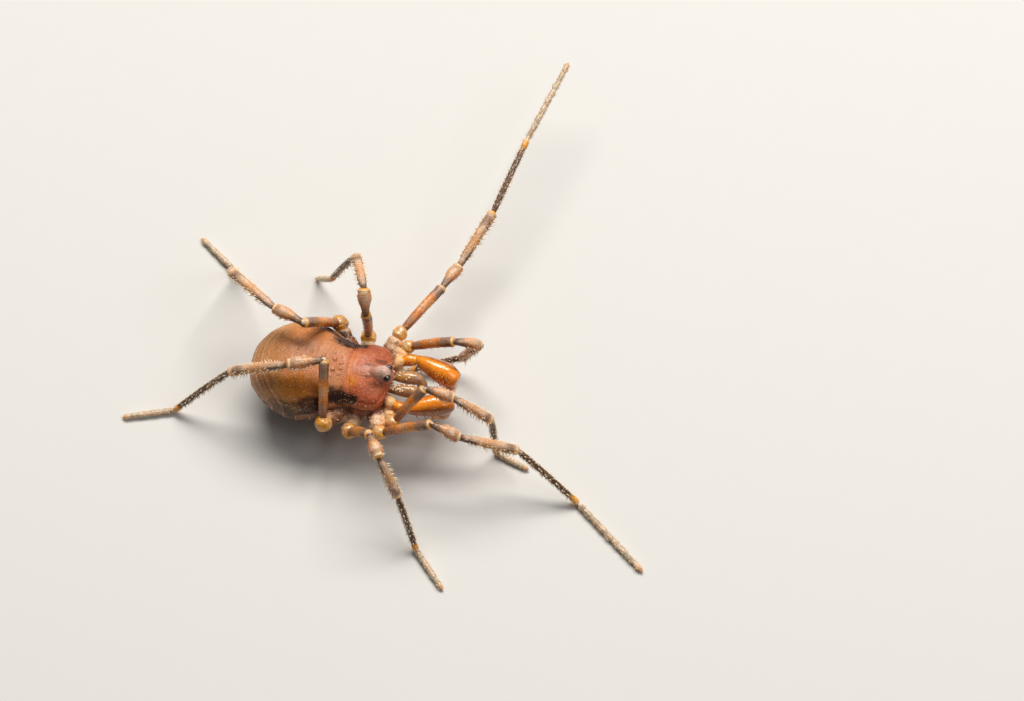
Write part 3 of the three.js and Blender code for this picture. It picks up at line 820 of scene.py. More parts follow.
def shield_paint(tree, place, split, grain_out):
    """Red carapace and pinkish brown abdomen, which is dark at the sides and paler at its groove. Painted
    shade lies on the right side, towards the carapace's sides and round the warts' feet.
    """
    x, y = split["X"], split["Y"]
    across = maths(tree, "ABSOLUTE", y)
    squared = times(tree, y, y)
    on_midline = maths(tree, "SUBTRACT", x, times(tree, squared, PLATE_BEND))
    outward = maths(tree, "ABSOLUTE", attribute(tree, "topside"))
    mottle = ranged(tree, grain_out["Mottle"], 0.38, 0.62)
    base = laid(tree, shade("shield"), mottle, 0.3, shade("dusk"))
    base = laid(tree, base, ranged(tree, x, -2.5, -1.95), 0.95, carapace_paint(tree, place, across))
    base, darks = side_paint(tree, place, base)
    # a dark stripe inside the margin behind the waist, and a paler beaded rim outside it
    stripe = both(tree, line(tree, outward, 0.86, 0.12), ranged(tree, x, -4.0, -3.2),
                  ranged(tree, x, -1.3, -1.9))
    base = laid(tree, base, stripe, 0.9, shade("umber"))
    rim = both(tree, ranged(tree, outward, 0.955, 0.99), ranged(tree, x, -4.4, -3.4), mottle)
    base = laid(tree, base, rim, 0.6, shade("blush"))
    base = hind_paint(tree, place, base, y, on_midline, grain_out["Mottle"])
    # the salmon groove, and an orange spot on each side of it, stronger on the right as painted shade
    groove_x = plus(tree, x, times(tree, squared, -GROOVE_BEND))
    groove = both(tree, line(tree, groove_x, GROOVE_X + 0.05, 0.3), ranged(tree, across, 1.4, 0.4),
                  ranged(tree, grain_out["Mottle"], 0.66, 0.4, 0.15, 0.75))
    base = laid(tree, base, groove, 1.0, shade("groove"))
    for side, word in SIDES:
        spot = patch(tree, place, mirrored((-1.82, 0.64, 1.0), side), (0.42, 0.52, 0.8), 0.45)
        base = laid(tree, base, spot, SPOT_STRENGTH[word], mixed(tree, 0.5, shade("ember"), shade("rust")))
    # a redder middle behind the groove, and warts with painted shadow round their foot and pale tops that are
    # partly painted highlight
    middle = patch(tree, place, (-2.65, 0.0, 1.2), (0.5, 0.8, 0.8), 0.25)
    base = laid(tree, base, middle, 0.4, shade("rose"))
    crest = attribute(tree, "crest")
    foot = both(tree, ranged(tree, crest, 0.02, 0.2), ranged(tree, crest, 0.6, 0.3))
    base = laid(tree, base, foot, 0.2, shade("umber"))
    base = laid(tree, base, ranged(tree, crest, 0.7, 1.0), 0.5, shade("edge"))
    base = speckled(tree, base, grain_out, 0.32, shade("edge"), 0.25)
    for dark in darks:
        base = laid(tree, base, dark, 0.55, shade("umber"))
    return base


def skin_paint(tree, place, split, grain_out):
    """Dark brown flanks and belly, and coxae that are cream towards their beads."""
    x, z = split["X"], split["Z"]
    across = maths(tree, "ABSOLUTE", split["Y"])
    mottle = ranged(tree, grain_out["Mottle"], 0.35, 0.65)
    base = mixed(tree, mottle, mixed(tree, 0.35, shade("shield"), shade("umber")), shade("umber"))
    red = mixed(tree, 0.4, shade("rose"), shade("umber"))
    base = laid(tree, base, ranged(tree, x, -2.6, -1.4), 0.5, red)
    pale = mixed(tree, mottle, shade("cream"), mixed(tree, 0.4, shade("blush"), shade("cream")))
    half = left_half(tree, split)
    for leg, bones in LEGS.items():
        middle = Vector(bones["coxa"]).lerp(Vector(bones["bead"]), 0.86)
        reach = 0.75 if leg < 4 else 0.5
        base = mixed(tree, patch(tree, half, middle, (reach,) * 3, 0.35), base, pale)
    below = both(tree, ranged(tree, z, -0.6, -1.1), ranged(tree, x, -3.3, -2.6))
    base = laid(tree, base, below, 0.6, shade("blush"))
    mouth = both(tree, ranged(tree, x, -0.15, 0.1), ranged(tree, across, 0.6, 0.9))
    base = mixed(tree, mouth, base, mixed(tree, 0.45, shade("amber"), shade("cream")))
    for edge in STERNITE_EDGES:
        mark = both(tree, line(tree, x, edge + 0.05, 0.05), ranged(tree, z, -0.3, -0.6))
        base = laid(tree, base, mark, 0.7, shade("edge"))
    return speckled(tree, base, grain_out, 0.35, shade("cream"), 0.5)


def joint_paint(top, under, net):
    """Paint along a leg joint: one row of bands on top and one below, as place and colour's name,
    with fine dark lines and a net over them. The top row is paler, partly painted highlight."""
    def paint(tree, place, split, grain_out):
        along = attribute(tree, "along")
        topside = attribute(tree, "topside")
        drift = times(tree, maths(tree, "SUBTRACT", grain_out["Mottle"], 0.5), 0.6)
        # the bands waver and the dark lines run up to the joint's end, which stays clean
        inner = maths(tree, "SUBTRACT", 1.0, ranged(tree, along, 0.86, 0.93))
        where = plus(tree, along, times(tree, drift, inner))
        upper = banded(tree, where, [(at, shade(name)) for at, name in top])
        lower = banded(tree, where, [(at, shade(name)) for at, name in under])
        # the top row, paler where the joint faces up, is partly painted highlight
        base = mixed(tree, ranged(tree, plus(tree, topside, drift), 0.88, 0.45), upper, lower)
        base = laid(tree, base, netted(tree, place, 8.0, 0.18, net), inner, shade("bark"))
        lines = streaked(tree, times(tree, topside, 7.0), times(tree, along, 3.0), 0.52, 0.66)
        base = laid(tree, base, both(tree, lines, inner), net * 0.8, shade("bark"))
        return speckled(tree, base, grain_out, 0.3, shade("cream"), 0.4)
    return paint


def amber_paint(tree, place, split, grain_out):
    """Orange beads, with cream on top as painted highlight."""
    mottle = ranged(tree, grain_out["Mottle"], 0.35, 0.7)
    base = mixed(tree, mottle, shade("amber"), shade("ember"))
    # painted highlight: cream on the upper side of the bead
    above = plus(tree, attribute(tree, "topside"), times(tree, grain_out["Mottle"], 0.8))
    base = laid(tree, base, ranged(tree, above, 1.0, 1.4), 0.4, shade("cream"))
    return speckled(tree, base, grain_out, 0.22, shade("cream"), 0.2)


def palp_paint(tree, place, split, grain_out):
    """Clear orange with a fine dark net below, and painted shade and dark reflection along the clubs' outer
    sides.
    """
    mottle = ranged(tree, grain_out["Mottle"], 0.35, 0.7)
    base = laid(tree, shade("ember"), mottle, 0.5, shade("amber"))
    below = ranged(tree, attribute(tree, "topside"), 1.02, 0.7)
    threads = both(tree, netted(tree, place, 7.5, 0.26, 0.9), below)
    for low, high, name in ((0.25, 0.45, "rust"), (0.45, 0.65, "bark")):
        base = laid(tree, base, threads, cloud(tree, place, 2.0, low, high), shade(name))
    # painted shade and dark reflection on the outer side of each club, along the slant of the clubs and wider
    # on the left one
    slant = (PALP["root"][1] - PALP["club"][1]) / (PALP["club"][0] - PALP["root"][0])
    start = PALP["root"][1] + PALP["root"][0] * slant
    axis = plus(tree, maths(tree, "ABSOLUTE", split["Y"]), times(tree, split["X"], slant))
    axis = plus(tree, axis, ranged(tree, split["Y"], -0.1, 0.1, 0.0, 0.12))
    outer = both(tree, ranged(tree, axis, start + 0.31, start + 0.45), ranged(tree, split["Z"], -0.3, 0.1))
    base = laid(tree, base, outer, 0.85, shade("rust"))
    base = laid(tree, base, both(tree, outer, cloud(tree, place, 4.0, 0.35, 0.6)), 0.6, shade("bark"))
    return speckled(tree, base, grain_out, 0.12, shade("hair"), 0.08)


def mound_paint(tree, place, split, grain_out):
    """Greyish pink, paler on top as partly painted highlight, dark round the eyes, running into the red of
    the carapace behind and below.
    """
    x, z = split["X"], split["Z"]
    waver = times(tree, grain_out["Mottle"], 0.3)
    # pale greyish pink that stays on the top, partly painted highlight
    base = laid(tree, shade("slate"), ranged(tree, grain_out["Mottle"], 0.42, 0.68), 0.35, shade("dusk"))
    ring = patch(tree, left_half(tree, split), (EYE["x"], EYE["y"], EYE["z"]), (0.36, 0.3, 0.36), 0.15)
    base = laid(tree, base, ring, 0.95, shade("umber"))
    base = laid(tree, base, cloud(tree, place, 3.2, 0.52, 0.68), 0.45, shade("dusk"))
    hind = ranged(tree, plus(tree, x, waver), -0.4, -0.75)
    base = laid(tree, base, hind, 0.85, mixed(tree, 0.35, shade("rose"), shade("slate")))
    base = laid(tree, base, ranged(tree, x, -0.1, 0.08), 0.85, shade("umber"))
    low = ranged(tree, plus(tree, z, waver), 1.36, 1.1)
    base = laid(tree, base, low, 0.9, mixed(tree, 0.3, shade("rose"), shade("slate")))
    return speckled(tree, base, grain_out, 0.3, shade("edge"), 0.1)


def plain_paint(light, deep, dark):
    """Paint of two mottled colours, with painted shade of a darkness in the pits."""
    def paint(tree, place, split, grain_out):
        mottle = ranged(tree, grain_out["Mottle"], 0.38, 0.62)
        base = mixed(tree, mottle, shade(light), shade(deep))
        return speckled(tree, base, grain_out, dark, shade("edge"), 0.15)
    return paint


def coat_material(name, root, tip, roughness):
    """Hairs, pegs and granules: one colour at the root and one at the tip, uneven from piece to piece."""
    material, tree = empty_material(name)
    tone = attribute(tree, "tone")
    base = mixed(tree, ranged(tree, attribute(tree, "along"), 0.0, 0.8), shade(root), shade(tip))
    base = laid(tree, base, tone, 0.55, shade("bark"))
    matt = ranged(tree, tone, 0.0, 1.0, roughness - 0.08, roughness + 0.12)
    shader = put(tree, "ShaderNodeBsdfPrincipled", {"Base Color": base, "Roughness": matt})
    put(tree, "ShaderNodeOutputMaterial", {"Surface": shader.outputs[0]})
    return material


# Bands on top and below each leg joint, and the strength of the dark net over them. The top rows are paler,
# partly painted highlight.
JOINT_PAINTS = {
    "femur": (((0.0, "bark"), (0.1, "rust"), (0.2, "ash"), (0.34, "ember"), (0.5, "blush"), (0.64, "ember"),
               (0.78, "ash"), (0.94, "dusk"), (0.98, "edge"), (1.0, "amber")),
              ((0.0, "bark"), (0.1, "rust"), (0.26, "rust"), (0.36, "ember"), (0.62, "amber"), (0.74, "rust"),
               (0.86, "bark"), (0.94, "bark"), (0.97, "amber"), (1.0, "amber")), 0.38),
    "patella": (((0.0, "edge"), (0.03, "bark"), (0.2, "ash"), (0.42, "blush"), (0.7, "painted_glare"),
                 (0.88, "blush"), (0.94, "cream"), (1.0, "amber")),
                ((0.0, "bark"), (0.22, "bark"), (0.36, "rust"), (0.52, "ember"), (0.82, "ember"),
                 (0.92, "rust"), (0.96, "cream"), (1.0, "amber")), 0.35),
    "tibia": (((0.0, "bark"), (0.05, "ash"), (0.14, "painted_glare"), (0.5, "blush"), (0.72, "painted_glare"), (0.82, "ash"),
               (0.9, "ash"), (0.95, "edge"), (1.0, "amber")),
              ((0.0, "bark"), (0.22, "bark"), (0.36, "ember"), (0.54, "amber"), (0.68, "ember"),
               (0.78, "bark"), (0.86, "rust"), (0.94, "amber"), (1.0, "amber")), 0.32),
    "metatarsus": (((0.0, "cream"), (0.04, "bark"), (0.4, "bark"), (0.7, "bark"), (0.84, "bark"),
                    (0.88, "amber"), (0.96, "amber"), (1.0, "cream")),
                   ((0.0, "cream"), (0.05, "bark"), (0.4, "rust"), (0.7, "bark"), (0.86, "bark"),
                    (0.89, "amber"), (1.0, "amber")), 0.85),
    "tarsus": (((0.0, "cream"), (0.06, "ash"), (0.2, "bone"), (0.5, "painted_glare"), (0.85, "bone"), (1.0, "blush")),
               ((0.0, "cream"), (0.1, "blush"), (0.7, "bone"), (1.0, "blush")), 0.45),
}


def shell(paint, **settings):
    """A paint and the settings of shell_material that go with it."""
    return paint, settings


FINISHES = {
    "Shield shell": shell(shield_paint, grains=15.0, roughness=0.4, coat=0.08, glow=0.06, specular=0.2),
    "Under shell": shell(skin_paint, grains=14.0, roughness=0.45, coat=0.12, glow=0.1),
    "Mound shell": shell(mound_paint, grains=15.0, roughness=0.3, coat=0.35, glow=0.05),
    "Eye": shell(
        plain_paint("black", "black", 0.0), grains=3.0, roughness=0.08, coat=1.0, glow=0.0, relief=0.02,
        gloss_spread=0.02, coat_roughness=0.05),
    "Cheliceral shell": shell(
        plain_paint("horn", "dusk", 0.25), grains=13.0, roughness=0.22, coat=0.7, glow=0.12, relief=0.7),
    "Pedipalp shell": shell(
        palp_paint, grains=13.0, roughness=0.2, coat=0.8, glow=0.25, relief=0.4, gloss_spread=0.1,
        coat_roughness=0.11, specular=0.3),
    "Claw shell": shell(
        plain_paint("ember", "horn", 0.1), grains=20.0, roughness=0.25, coat=0.4, glow=0.1, relief=0.3),
    "Bead shell": shell(amber_paint, grains=11.0, roughness=0.28, coat=0.8, glow=0.25, relief=0.7),
}
FINISHES.update({
    f"{joint.capitalize()} shell": shell(
        joint_paint(*bands), grains=15.0, roughness=0.34, coat=0.3, glow=0.12, relief=1.1,
        coat_roughness=0.25)
    for joint, bands in JOINT_PAINTS.items()})
# Colours at the root and the tip of hairs, granules and spines, and their roughness
COATS = {
    "Pale hair": ("bone", "hair", 0.4), "Pale granule": ("blush", "hair", 0.3),
    "Leg spine": ("cream", "hair", 0.3),
}


def finish(name):
    """A finish by its name, made once and found after that."""
    made = bpy.data.materials.get(name)
    if made:
        return made
    if name in COATS:
        return coat_material(name, *COATS[name])
    paint, settings = FINISHES[name]
    return shell_material(name, paint, **settings)


# Trunk
def trunk_station(share):
    """The trunk's row of measures at a share of its length."""
    x, half_width, flank, crown, edge, belly = (
        through([row[column] for row in STATIONS], share) for column in range(6))
    return x, max(half_width, 0.0), max(flank, 0.0), crown, edge, belly


def trunk_shares(rings):
    """Places along the trunk that lie evenly over its back."""
    steps = 400
    rows = [trunk_station(i / steps) for i in range(steps + 1)]
    totals = travelled([Vector((x, half_width, crown)) for x, half_width, _, crown, _, _ in rows])
    shares = [bisect.bisect_left(totals, totals[-1] * ring / rings) / steps for ring in range(rings)]
    return shares + [1.0]


def plate_lift(x, y):
    """How far a hind plate stands proud: most at its own hind edge, which bends forward at the sides."""
    on_midline = x - PLATE_BEND * y ** 2
    for edge in PLATE_EDGES:
        if on_midline >= edge:
            return PLATE_LIFT * max(0.0, 1 - (on_midline - edge) / PLATE_RUN)
    return 0.0


def add_shield(bm):
    """The back as one closed form, with a lip turned in under its margin."""
    sides, rings = 216, 300
    lip_drop, lip_squareness, lip_inset = 0.3, 5.0, 0.06
    stations = [trunk_station(share) for share in trunk_shares(rings)]

    def place(ring, around):
        x, half_width, _, crown, edge, _ = stations[ring]
        across, rise = math.cos(around), math.sin(around)
        if rise >= 0:
            power = 2 / BACK_SQUARENESS
            lift = plate_lift(x, half_width * bowed(across, power))
            width = half_width + (lift if half_width > 0 else 0.0)
            height = max(crown - edge, 0.0) + lift
        else:
            power = 2 / lip_squareness
            width = max(half_width - lip_inset * abs(rise), 0.0)
            height = min(lip_drop, half_width * 0.5)
        point = Vector((x, width * bowed(across, power), edge + height * bowed(rise, power)))
        return point, ring / rings

    return add_form(bm, sides, rings, place)


def wart_height(x, across):
    """How far up on a wart a place is, from 0 at its foot to 1 on top, and the wart's radius."""
    for row, out, radius in WARTS:
        share = math.sqrt(max(0.0, 1 - ((x - row) ** 2 + (across - out) ** 2) / radius ** 2))
        if share > 0:
            return share, radius
    return 0.0, 0.0


def back_relief(vert):
    """Grooves, warts, margin and granules of the shield, as a height over its plain form."""
    co = vert.co
    x, across = co.x, abs(co.y)
    on_top = ease(vert.normal.z, 0.05, 0.5)
    height = 0.008 * noise.noise(co * 1.6) + 0.011 * grain(co, 0.1)
    groove_x = GROOVE_X + GROOVE_BEND * across ** 2
    height -= 0.06 * bell(x - groove_x, 0.11) * ease(across, 1.7, 1.1)
    height += 0.03 * bell(x - groove_x + 0.24, 0.14) * on_top
    for area in AREA_GROOVES:
        height -= 0.012 * bell(x - area - GROOVE_BEND * across ** 2, 0.08) * on_top * ease(across, 1.9, 1.4)
    share, radius = wart_height(x, across)
    height += 0.8 * radius * share
    # the rise that carries the eye mound, then hollows, raised corners and the knobbly margin
    height += 0.2 * bell(math.hypot((x + 0.32) / 0.66, across / 0.54), 1.0) * ease(vert.normal.z, 0.3, 0.8)
    for ahead, out, width, rise in CARAPACE_RELIEF:
        height += rise * bell(math.hypot(x - ahead, across - out), width)
    rim = 1 - ease(vert.normal.z, 0.2, 0.6)
    furrow = bell(vert.normal.z - 0.62, 0.13)
    if x - PLATE_BEND * across ** 2 > PLATE_EDGES[0]:
        height += 0.03 * rim * ease(vert.normal.z, -0.5, 0.1) * (0.6 + 0.8 * grain(co, 0.16)) - 0.035 * furrow
    return height


def build_shield():
    """Carapace and abdomen under one hard skin, with the knobs along its front margin."""
    bm = bmesh.new()
    crest = float_layer(bm, "crest")
    verts = add_shield(bm)
    for vert in verts:
        vert[crest] = wart_height(vert.co.x, abs(vert.co.y))[0] if vert.normal.z > 0 else 0.0
    emboss(bm, verts, back_relief)
    for x, across, z, radius in KNOBS:
        for side, _ in SIDES:
            for vert in add_ball(bm, Vector((x, side * across, z)), radius, sides=18):
                vert[crest] = 1.0
    return finish_piece(bm, "dorsal_shield", ["Shield shell"], ["abdomen"])


def bead_centre(leg, word):
    """The middle of a leg's root bead."""
    side = 1 if word == "left" else -1
    return mirrored(LEGS[leg]["bead"], side) + Vector(BEAD_SWING.get(f"{leg}_{word}", (0, 0, 0)))


def coxa_limb(leg, side, word):
    """A leg's coxa, from the middle of the belly to the bead."""
    root, bead = mirrored(LEGS[leg]["coxa"], side), bead_centre(leg, word)
    radius, end = LEGS[leg]["coxa_radius"], LEGS[leg]["radius"]
    outline = ((0, radius * 0.9), (0.35, radius), (0.7, (radius + end) / 2), (0.86, end * 0.9),
               (0.93, end * 1.04), (1, end * 0.86))
    inward = (root - bead).normalized()
    return Limb([root, root.lerp(bead, 0.5), bead + inward * end * 0.85], outline, Vector((0, 0, 1)), 0.2)


def add_underside(bm):
    """Flanks and belly, and a back that stays hidden inside the shield."""
    sides, rings = 120, 150
    shield_inset, crown_inset = 0.12, 0.2
    flank_inset, pinch, pinch_depth = 0.07, 0.07, 0.12
    stations = [trunk_station(share) for share in trunk_shares(rings)]

    def place(ring, around):
        x, half_width, flank, crown, edge, belly = stations[ring]
        across, rise = math.cos(around), math.sin(around)
        if rise >= 0:
            width = max(half_width - shield_inset, 0.0)
            height = max(crown - edge - crown_inset, 0.0)
            power = 2 / BACK_SQUARENESS
        else:
            width = max(flank - flank_inset, 0.0)
            height = edge - belly
            power = 2 / FLANK_SQUARENESS
            if width > pinch:
                width -= pinch * bell(height * abs(rise) - pinch_depth, pinch_depth)
        point = Vector((x, width * bowed(across, power), edge + height * bowed(rise, power)))
        return point, ring / rings

    add_form(bm, sides, rings, place)


def belly_relief(vert):
    """Plates and granules of the belly and flanks, as a height over their plain form."""
    co = vert.co
    below = ease(-vert.normal.z, 0.0, 0.5)
    height = 0.006 * noise.noise(co * 2.5)
    outer = ease(abs(co.y), 1.3, 1.8) * ease(co.x, -3.6, -3.2)
    height += (0.012 + 0.022 * outer) * grain(co, 0.16 if outer > 0.5 else 0.13)
    for edge in STERNITE_EDGES:
        if edge <= co.x < edge + STERNITE_RUN:
            share = 1 - (co.x - edge) / STERNITE_RUN
            height += STERNITE_LIFT * share * below * ease(co.x, -2.6, -2.9)
    # plate over the genital opening, between the last coxae
    reach = math.hypot((co.x + 2.15) / 0.55, co.y / 0.42)
    height += 0.07 * ease(reach, 1.05, 0.9) * below
    return height


def one_skin(bm, voxel, smoothing):
    """The forms of a bmesh joined into one skin without seams, as a new bmesh."""
    mesh = bpy.data.meshes.new("skin draft")
    bm.to_mesh(mesh)
    bm.free()
    draft = bpy.data.objects.new("skin draft", mesh)
    bpy.context.scene.collection.objects.link(draft)
    remesh = draft.modifiers.new("One skin", "REMESH")
    remesh.mode = "VOXEL"
    remesh.voxel_size = voxel
    whole = bpy.data.meshes.new_from_object(draft.evaluated_get(bpy.context.evaluated_depsgraph_get()))
    bpy.data.objects.remove(draft)
    skin = bmesh.new()
    skin.from_mesh(whole)
    for _ in range(smoothing):
        bmesh.ops.smooth_vert(
            skin, verts=skin.verts, factor=0.5, use_axis_x=True, use_axis_y=True, use_axis_z=True)
    for draft_mesh in (mesh, whole):
        bpy.data.meshes.remove(draft_mesh)
    return skin


def build_underside():
    """Flanks, belly and coxae as one skin."""
    bm = bmesh.new()
    add_underside(bm)
    up = Vector((0, 0, 1))
    for leg in LEGS:
        for side, word in SIDES:
            add_limb(bm, coxa_limb(leg, side, word), sides=32, step=0.06)
    for side, _ in SIDES:
        root, coxa = mirrored(PALP["trunk"], side), mirrored(PALP["coxa"], side)
        outline = ((0, PALP_COXA_RADIUS * 0.8), (1, PALP_COXA_RADIUS))
        add_limb(bm, Limb([root, root.lerp(coxa, 0.6), coxa], outline, up, 1.0), sides=28, step=0.06)
    bm = one_skin(bm, voxel=0.042, smoothing=3)
    emboss(bm, list(bm.verts), belly_relief)
    for face in bm.faces:
        face.smooth = True
    return finish_piece(bm, "underside", ["Under shell"], ["carapace"])


# Head
def mound_relief(vert):
    """Granules of the mound and a raised ring round each eye."""
    height = 0.012 * grain(vert.co, 0.11) + 0.01 * noise.noise(vert.co * 4)
    for side, _ in SIDES:
        near = (vert.co - mirrored((EYE["x"], EYE["y"], EYE["z"]), side)).length
        height += 0.05 * bell(near - EYE["radius"] * 1.16, 0.05)
    return height


def build_mound():
    """The eye mound: wider at its foot, and drawn out behind."""
    bm = bmesh.new()
    sides, rings = 96, 64
    foot_flare, hind_slope = 0.16, 0.75

    def place(ring, around):
        angle = math.pi * ring / rings
        reach = math.sin(angle) * (1 + foot_flare * ease(angle, 0.85, 1.5))
        behind = max(0.0, -math.cos(around)) * ease(angle, 0.2, 1.0)
        x = MOUND["x"] + MOUND["length"] * reach * math.cos(around) * (1 + hind_slope * behind)
        y = MOUND["width"] * reach * math.sin(around)
        return Vector((x, y, MOUND["z"] + MOUND["height"] * math.cos(angle))), ring / rings

    emboss(bm, add_form(bm, sides, rings, place), mound_relief)
    finish_piece(bm, "eye_hill", ["Mound shell"], ["eye_mound"])


def build_eyes():
    """Two round black eyes, one on each side of the mound."""
    for side, word in SIDES:
        bm = bmesh.new()
        ball = bmesh.ops.create_uvsphere(bm, u_segments=48, v_segments=32, radius=EYE["radius"])["verts"]
        bmesh.ops.translate(bm, verts=ball, vec=mirrored((EYE["x"], EYE["y"], EYE["z"]), side))
        for face in bm.faces:
            face.smooth = True
        finish_piece(bm, f"lens_{word}", ["Eye"], [f"eye_{word}"])


def jaw_limb(side):
    """The root joint of a chelicera, up to its knee."""
    root, knee = (mirrored(CHELICERA[name], side) for name in ("root", "knee"))
    up = Vector((0, 0, 1))
    return Limb([root, root.lerp(knee, 0.5) + up * 0.04, knee], JAW_OUTLINE, up, 0.8)


def add_pincer(bm, wrist, tip, material):
    """The two curved fingers of a chelicera, with teeth between them."""
    down, reach = (tip - wrist).normalized(), (tip - wrist).length
    back = Vector((-1, 0, 0))
    for shift, bend in ((0.07, 0.3), (-0.1, -0.22)):
        start = wrist - back * shift
        add_horn(bm, start, down, back * bend, reach * 0.95, 0.105, material, sides=14, rings=22)
        inward = back * (1 if shift > 0 else -1)
        for tooth in range(4):
            seat = start + down * reach * (0.3 + 0.15 * tooth) + back * bend * 0.1
            add_horn(bm, seat, inward, down * 0.2, 0.09, 0.03, material, sides=7, rings=5)


def build_chelicerae():
    """Chelicerae that reach ahead to a knee and hang down from it to their pincers."""
    for side, word in SIDES:
        bm = bmesh.new()
        knee, wrist, tip = (mirrored(CHELICERA[name], side) for name in ("knee", "wrist", "tip"))
        hand = Limb([knee + Vector((0, 0, -0.06)), knee.lerp(wrist, 0.5) + Vector((0.1, 0, 0)), wrist],
                    HAND_OUTLINE, Vector((1, 0, 0)), 0.3)
        add_limb(bm, jaw_limb(side), sides=36, step=0.03)
        add_limb(bm, hand, sides=32, step=0.03)
        add_pincer(bm, wrist, tip, material=1)
        finish_piece(bm, f"jaw_{word}", ["Cheliceral shell", "Claw shell"],
                     [f"chelicera_{word}"])


def palp_limbs(side):
    """Bead, club, knee, shin and foot of one pedipalp."""
    places = {name: mirrored(place, side) for name, place in PALP.items()}
    up = Vector((0, 0, 1))
    ahead = (places["club"] - places["root"]).normalized()
    club_end = places["club"] + ahead * 0.18
    outer = mirrored((0, 0.1, 0.02), side)
    paths = {
        "bead": ([places["coxa"] + ahead * 0.1, places["bead"], places["root"] + ahead * 0.05], up, 0.6),
        "club": ([places["root"] + outer - ahead * 0.08,
                  places["root"].lerp(club_end, 0.5) + up * 0.05 + outer * 0.3, club_end], up, 0.8),
        "knee": ([places["club"] + ahead * 0.1 - up * 0.12, places["elbow"], places["shin"]], ahead, 0.6),
        "shin": ([places["elbow"].lerp(places["shin"], 0.72), places["shin"], places["wrist"]], ahead, 0.6),
        "foot": ([places["wrist"], places["wrist"].lerp(places["claw"], 0.55) - up * 0.08, places["claw"]],
                 ahead, 0.4),
    }
    return {name: Limb(path, PALP_OUTLINES[name], top, tip) for name, (path, top, tip) in paths.items()}


def build_palp_club(limbs, word):
    """Bead and club, with two rows of spines under the club."""
    bm = bmesh.new()
    add_limb(bm, limbs["bead"], sides=36, step=0.035)
    club = limbs["club"]
    emboss(bm, add_limb(bm, club, sides=56, step=0.03), lambda vert: 0.008 * grain(vert.co, 0.1))
    for share in (0.25, 0.45, 0.64, 0.82):
        for flank in (0.75, -0.75):
            seat, out, _ = club.skin(club.length * share, math.pi + flank)
            add_horn(bm, seat - out * 0.08, out, Vector((0.3, 0, 0)), 0.3, 0.06, 0, sides=10, rings=9)
    finish_piece(bm, f"palp_{word}_club", ["Pedipalp shell", "Claw shell"],
                 [f"pedipalp_{word}_femur"])


def build_palp_claw(limbs, word):
    """Knee, shin and foot folded under the club, with pairs of spines and a claw at the end."""
    bm = bmesh.new()
    for name in PALP_SPINES:
        add_limb(bm, limbs[name], sides=32, step=0.035)
    for name, (count, size) in PALP_SPINES.items():
        limb = limbs[name]
        for i in range(count):
            for flank in (1, -1):
                share = (i + 0.7) / (count + 0.4)
                seat, out, along = limb.skin(limb.length * share, math.pi + 0.62 * flank)
                aim = (out + along * 0.25).normalized()
                add_horn(bm, seat - out * 0.05, aim, along * 0.25, size * (1 - 0.08 * i), 0.055, 0,
                         sides=9, rings=9)
    foot = limbs["foot"]
    _, _, along = foot.skin(foot.length * 0.9, 0)
    add_horn(bm, foot.path[-1] - along * 0.1, along, Vector((0, 0, 0.7)), 0.42, 0.055, 1, sides=10, rings=12)
    finish_piece(bm, f"palp_{word}_grasper", ["Pedipalp shell", "Claw shell"],
                 [f"pedipalp_{word}_claw"])


def build_pedipalps():
    for side, word in SIDES:
        limbs = palp_limbs(side)
        build_palp_club(limbs, word)
        build_palp_claw(limbs, word)


# Legs
def leg_lines(leg, word):
    """Start, aim, upward side and length of each joint of a leg."""
    bead = bead_centre(leg, word)
    start = bead.copy()
    lines = []
    for joint, length, (heading, pitch) in zip(JOINTS, LEGS[leg]["lengths"], POSE[f"{leg}_{word}"]):
        if pitch is None:
            rest = TOE_HEIGHT if joint == "tarsus" else FOOT_AXIS_HEIGHT
            fall = start.z + TROCHANTER_HEIGHT - rest
            pitch = -math.degrees(math.asin(min(1.0, fall / length)))
        aim = aimed(heading, pitch)
        if joint == "femur":
            sink = LEGS[leg]["radius"] - ROOT_SINK
            start += aim * sink
            length -= sink
        lines.append((joint, start.copy(), aim, aimed(heading, pitch + 90), length))
        start = start + aim * length
    return bead, lines


def tarsus_outline(articles):
    """A ringed foot: each article swells and ends in a narrow neck."""
    rows = [(0.0, 0.11)]
    for i in range(articles):
        for part, swell in ((0.14, 0.93), (0.5, 1.03), (0.88, 1.0), (0.985, 0.8)):
            share = (i + part) / articles
            rows.append((share, through(TARSUS_RADII, share) * swell))
    return rows


def leg_limbs(leg, word):
    """The bead and the five joints of a leg."""
    bead, lines = leg_lines(leg, word)
    radius = LEGS[leg]["radius"] * BEAD_SWELL[leg]
    aim, up = lines[0][2], lines[0][3]
    inward = (mirrored(LEGS[leg]["coxa"], 1 if word == "left" else -1) - bead).normalized()
    limbs = {"trochanter": Limb(
        [bead + inward * radius * 1.1, bead, bead + aim * radius * 0.75],
        ((0, radius * 0.7), (0.2, radius * 0.8), (0.32, radius * 0.95), (0.55, radius * 1.04),
         (0.82, radius * 0.84), (1, radius * 0.62)),
        up, 0.35)}
    previous = None
    for joint, start, aim, up, length in lines:
        end = start + aim * length
        # a joint that folds back on the one before starts on its lower side
        if previous and previous[0].dot(aim) < -0.2:
            start = start - previous[1] * 0.12
        outline = OUTLINES.get(joint) or tarsus_outline(LEGS[leg]["articles"])
        middle = start.lerp(end, 0.5) + up * LEG_BOWS[joint]
        limbs[joint] = Limb([start, middle, end], outline, up, 0.9 if joint == "tarsus" else 0.35)
        previous = (aim, up)
    return limbs


def leg_skin(joint, leg):
    """Small unevenness of a joint: a fuller upper side on the patella, and a slow waver."""
    fuller = 0.08 if joint == "patella" else 0.03
    bulb = PATELLA_SWELL[leg] - 1 if joint == "patella" else 0.0

    def swell(share, around):
        middle = math.sin(math.pi * share)
        waver = 0.012 * math.sin(17 * share + 2 * around)
        return 1 + bulb * middle + fuller * math.cos(around) * middle + waver
    return swell


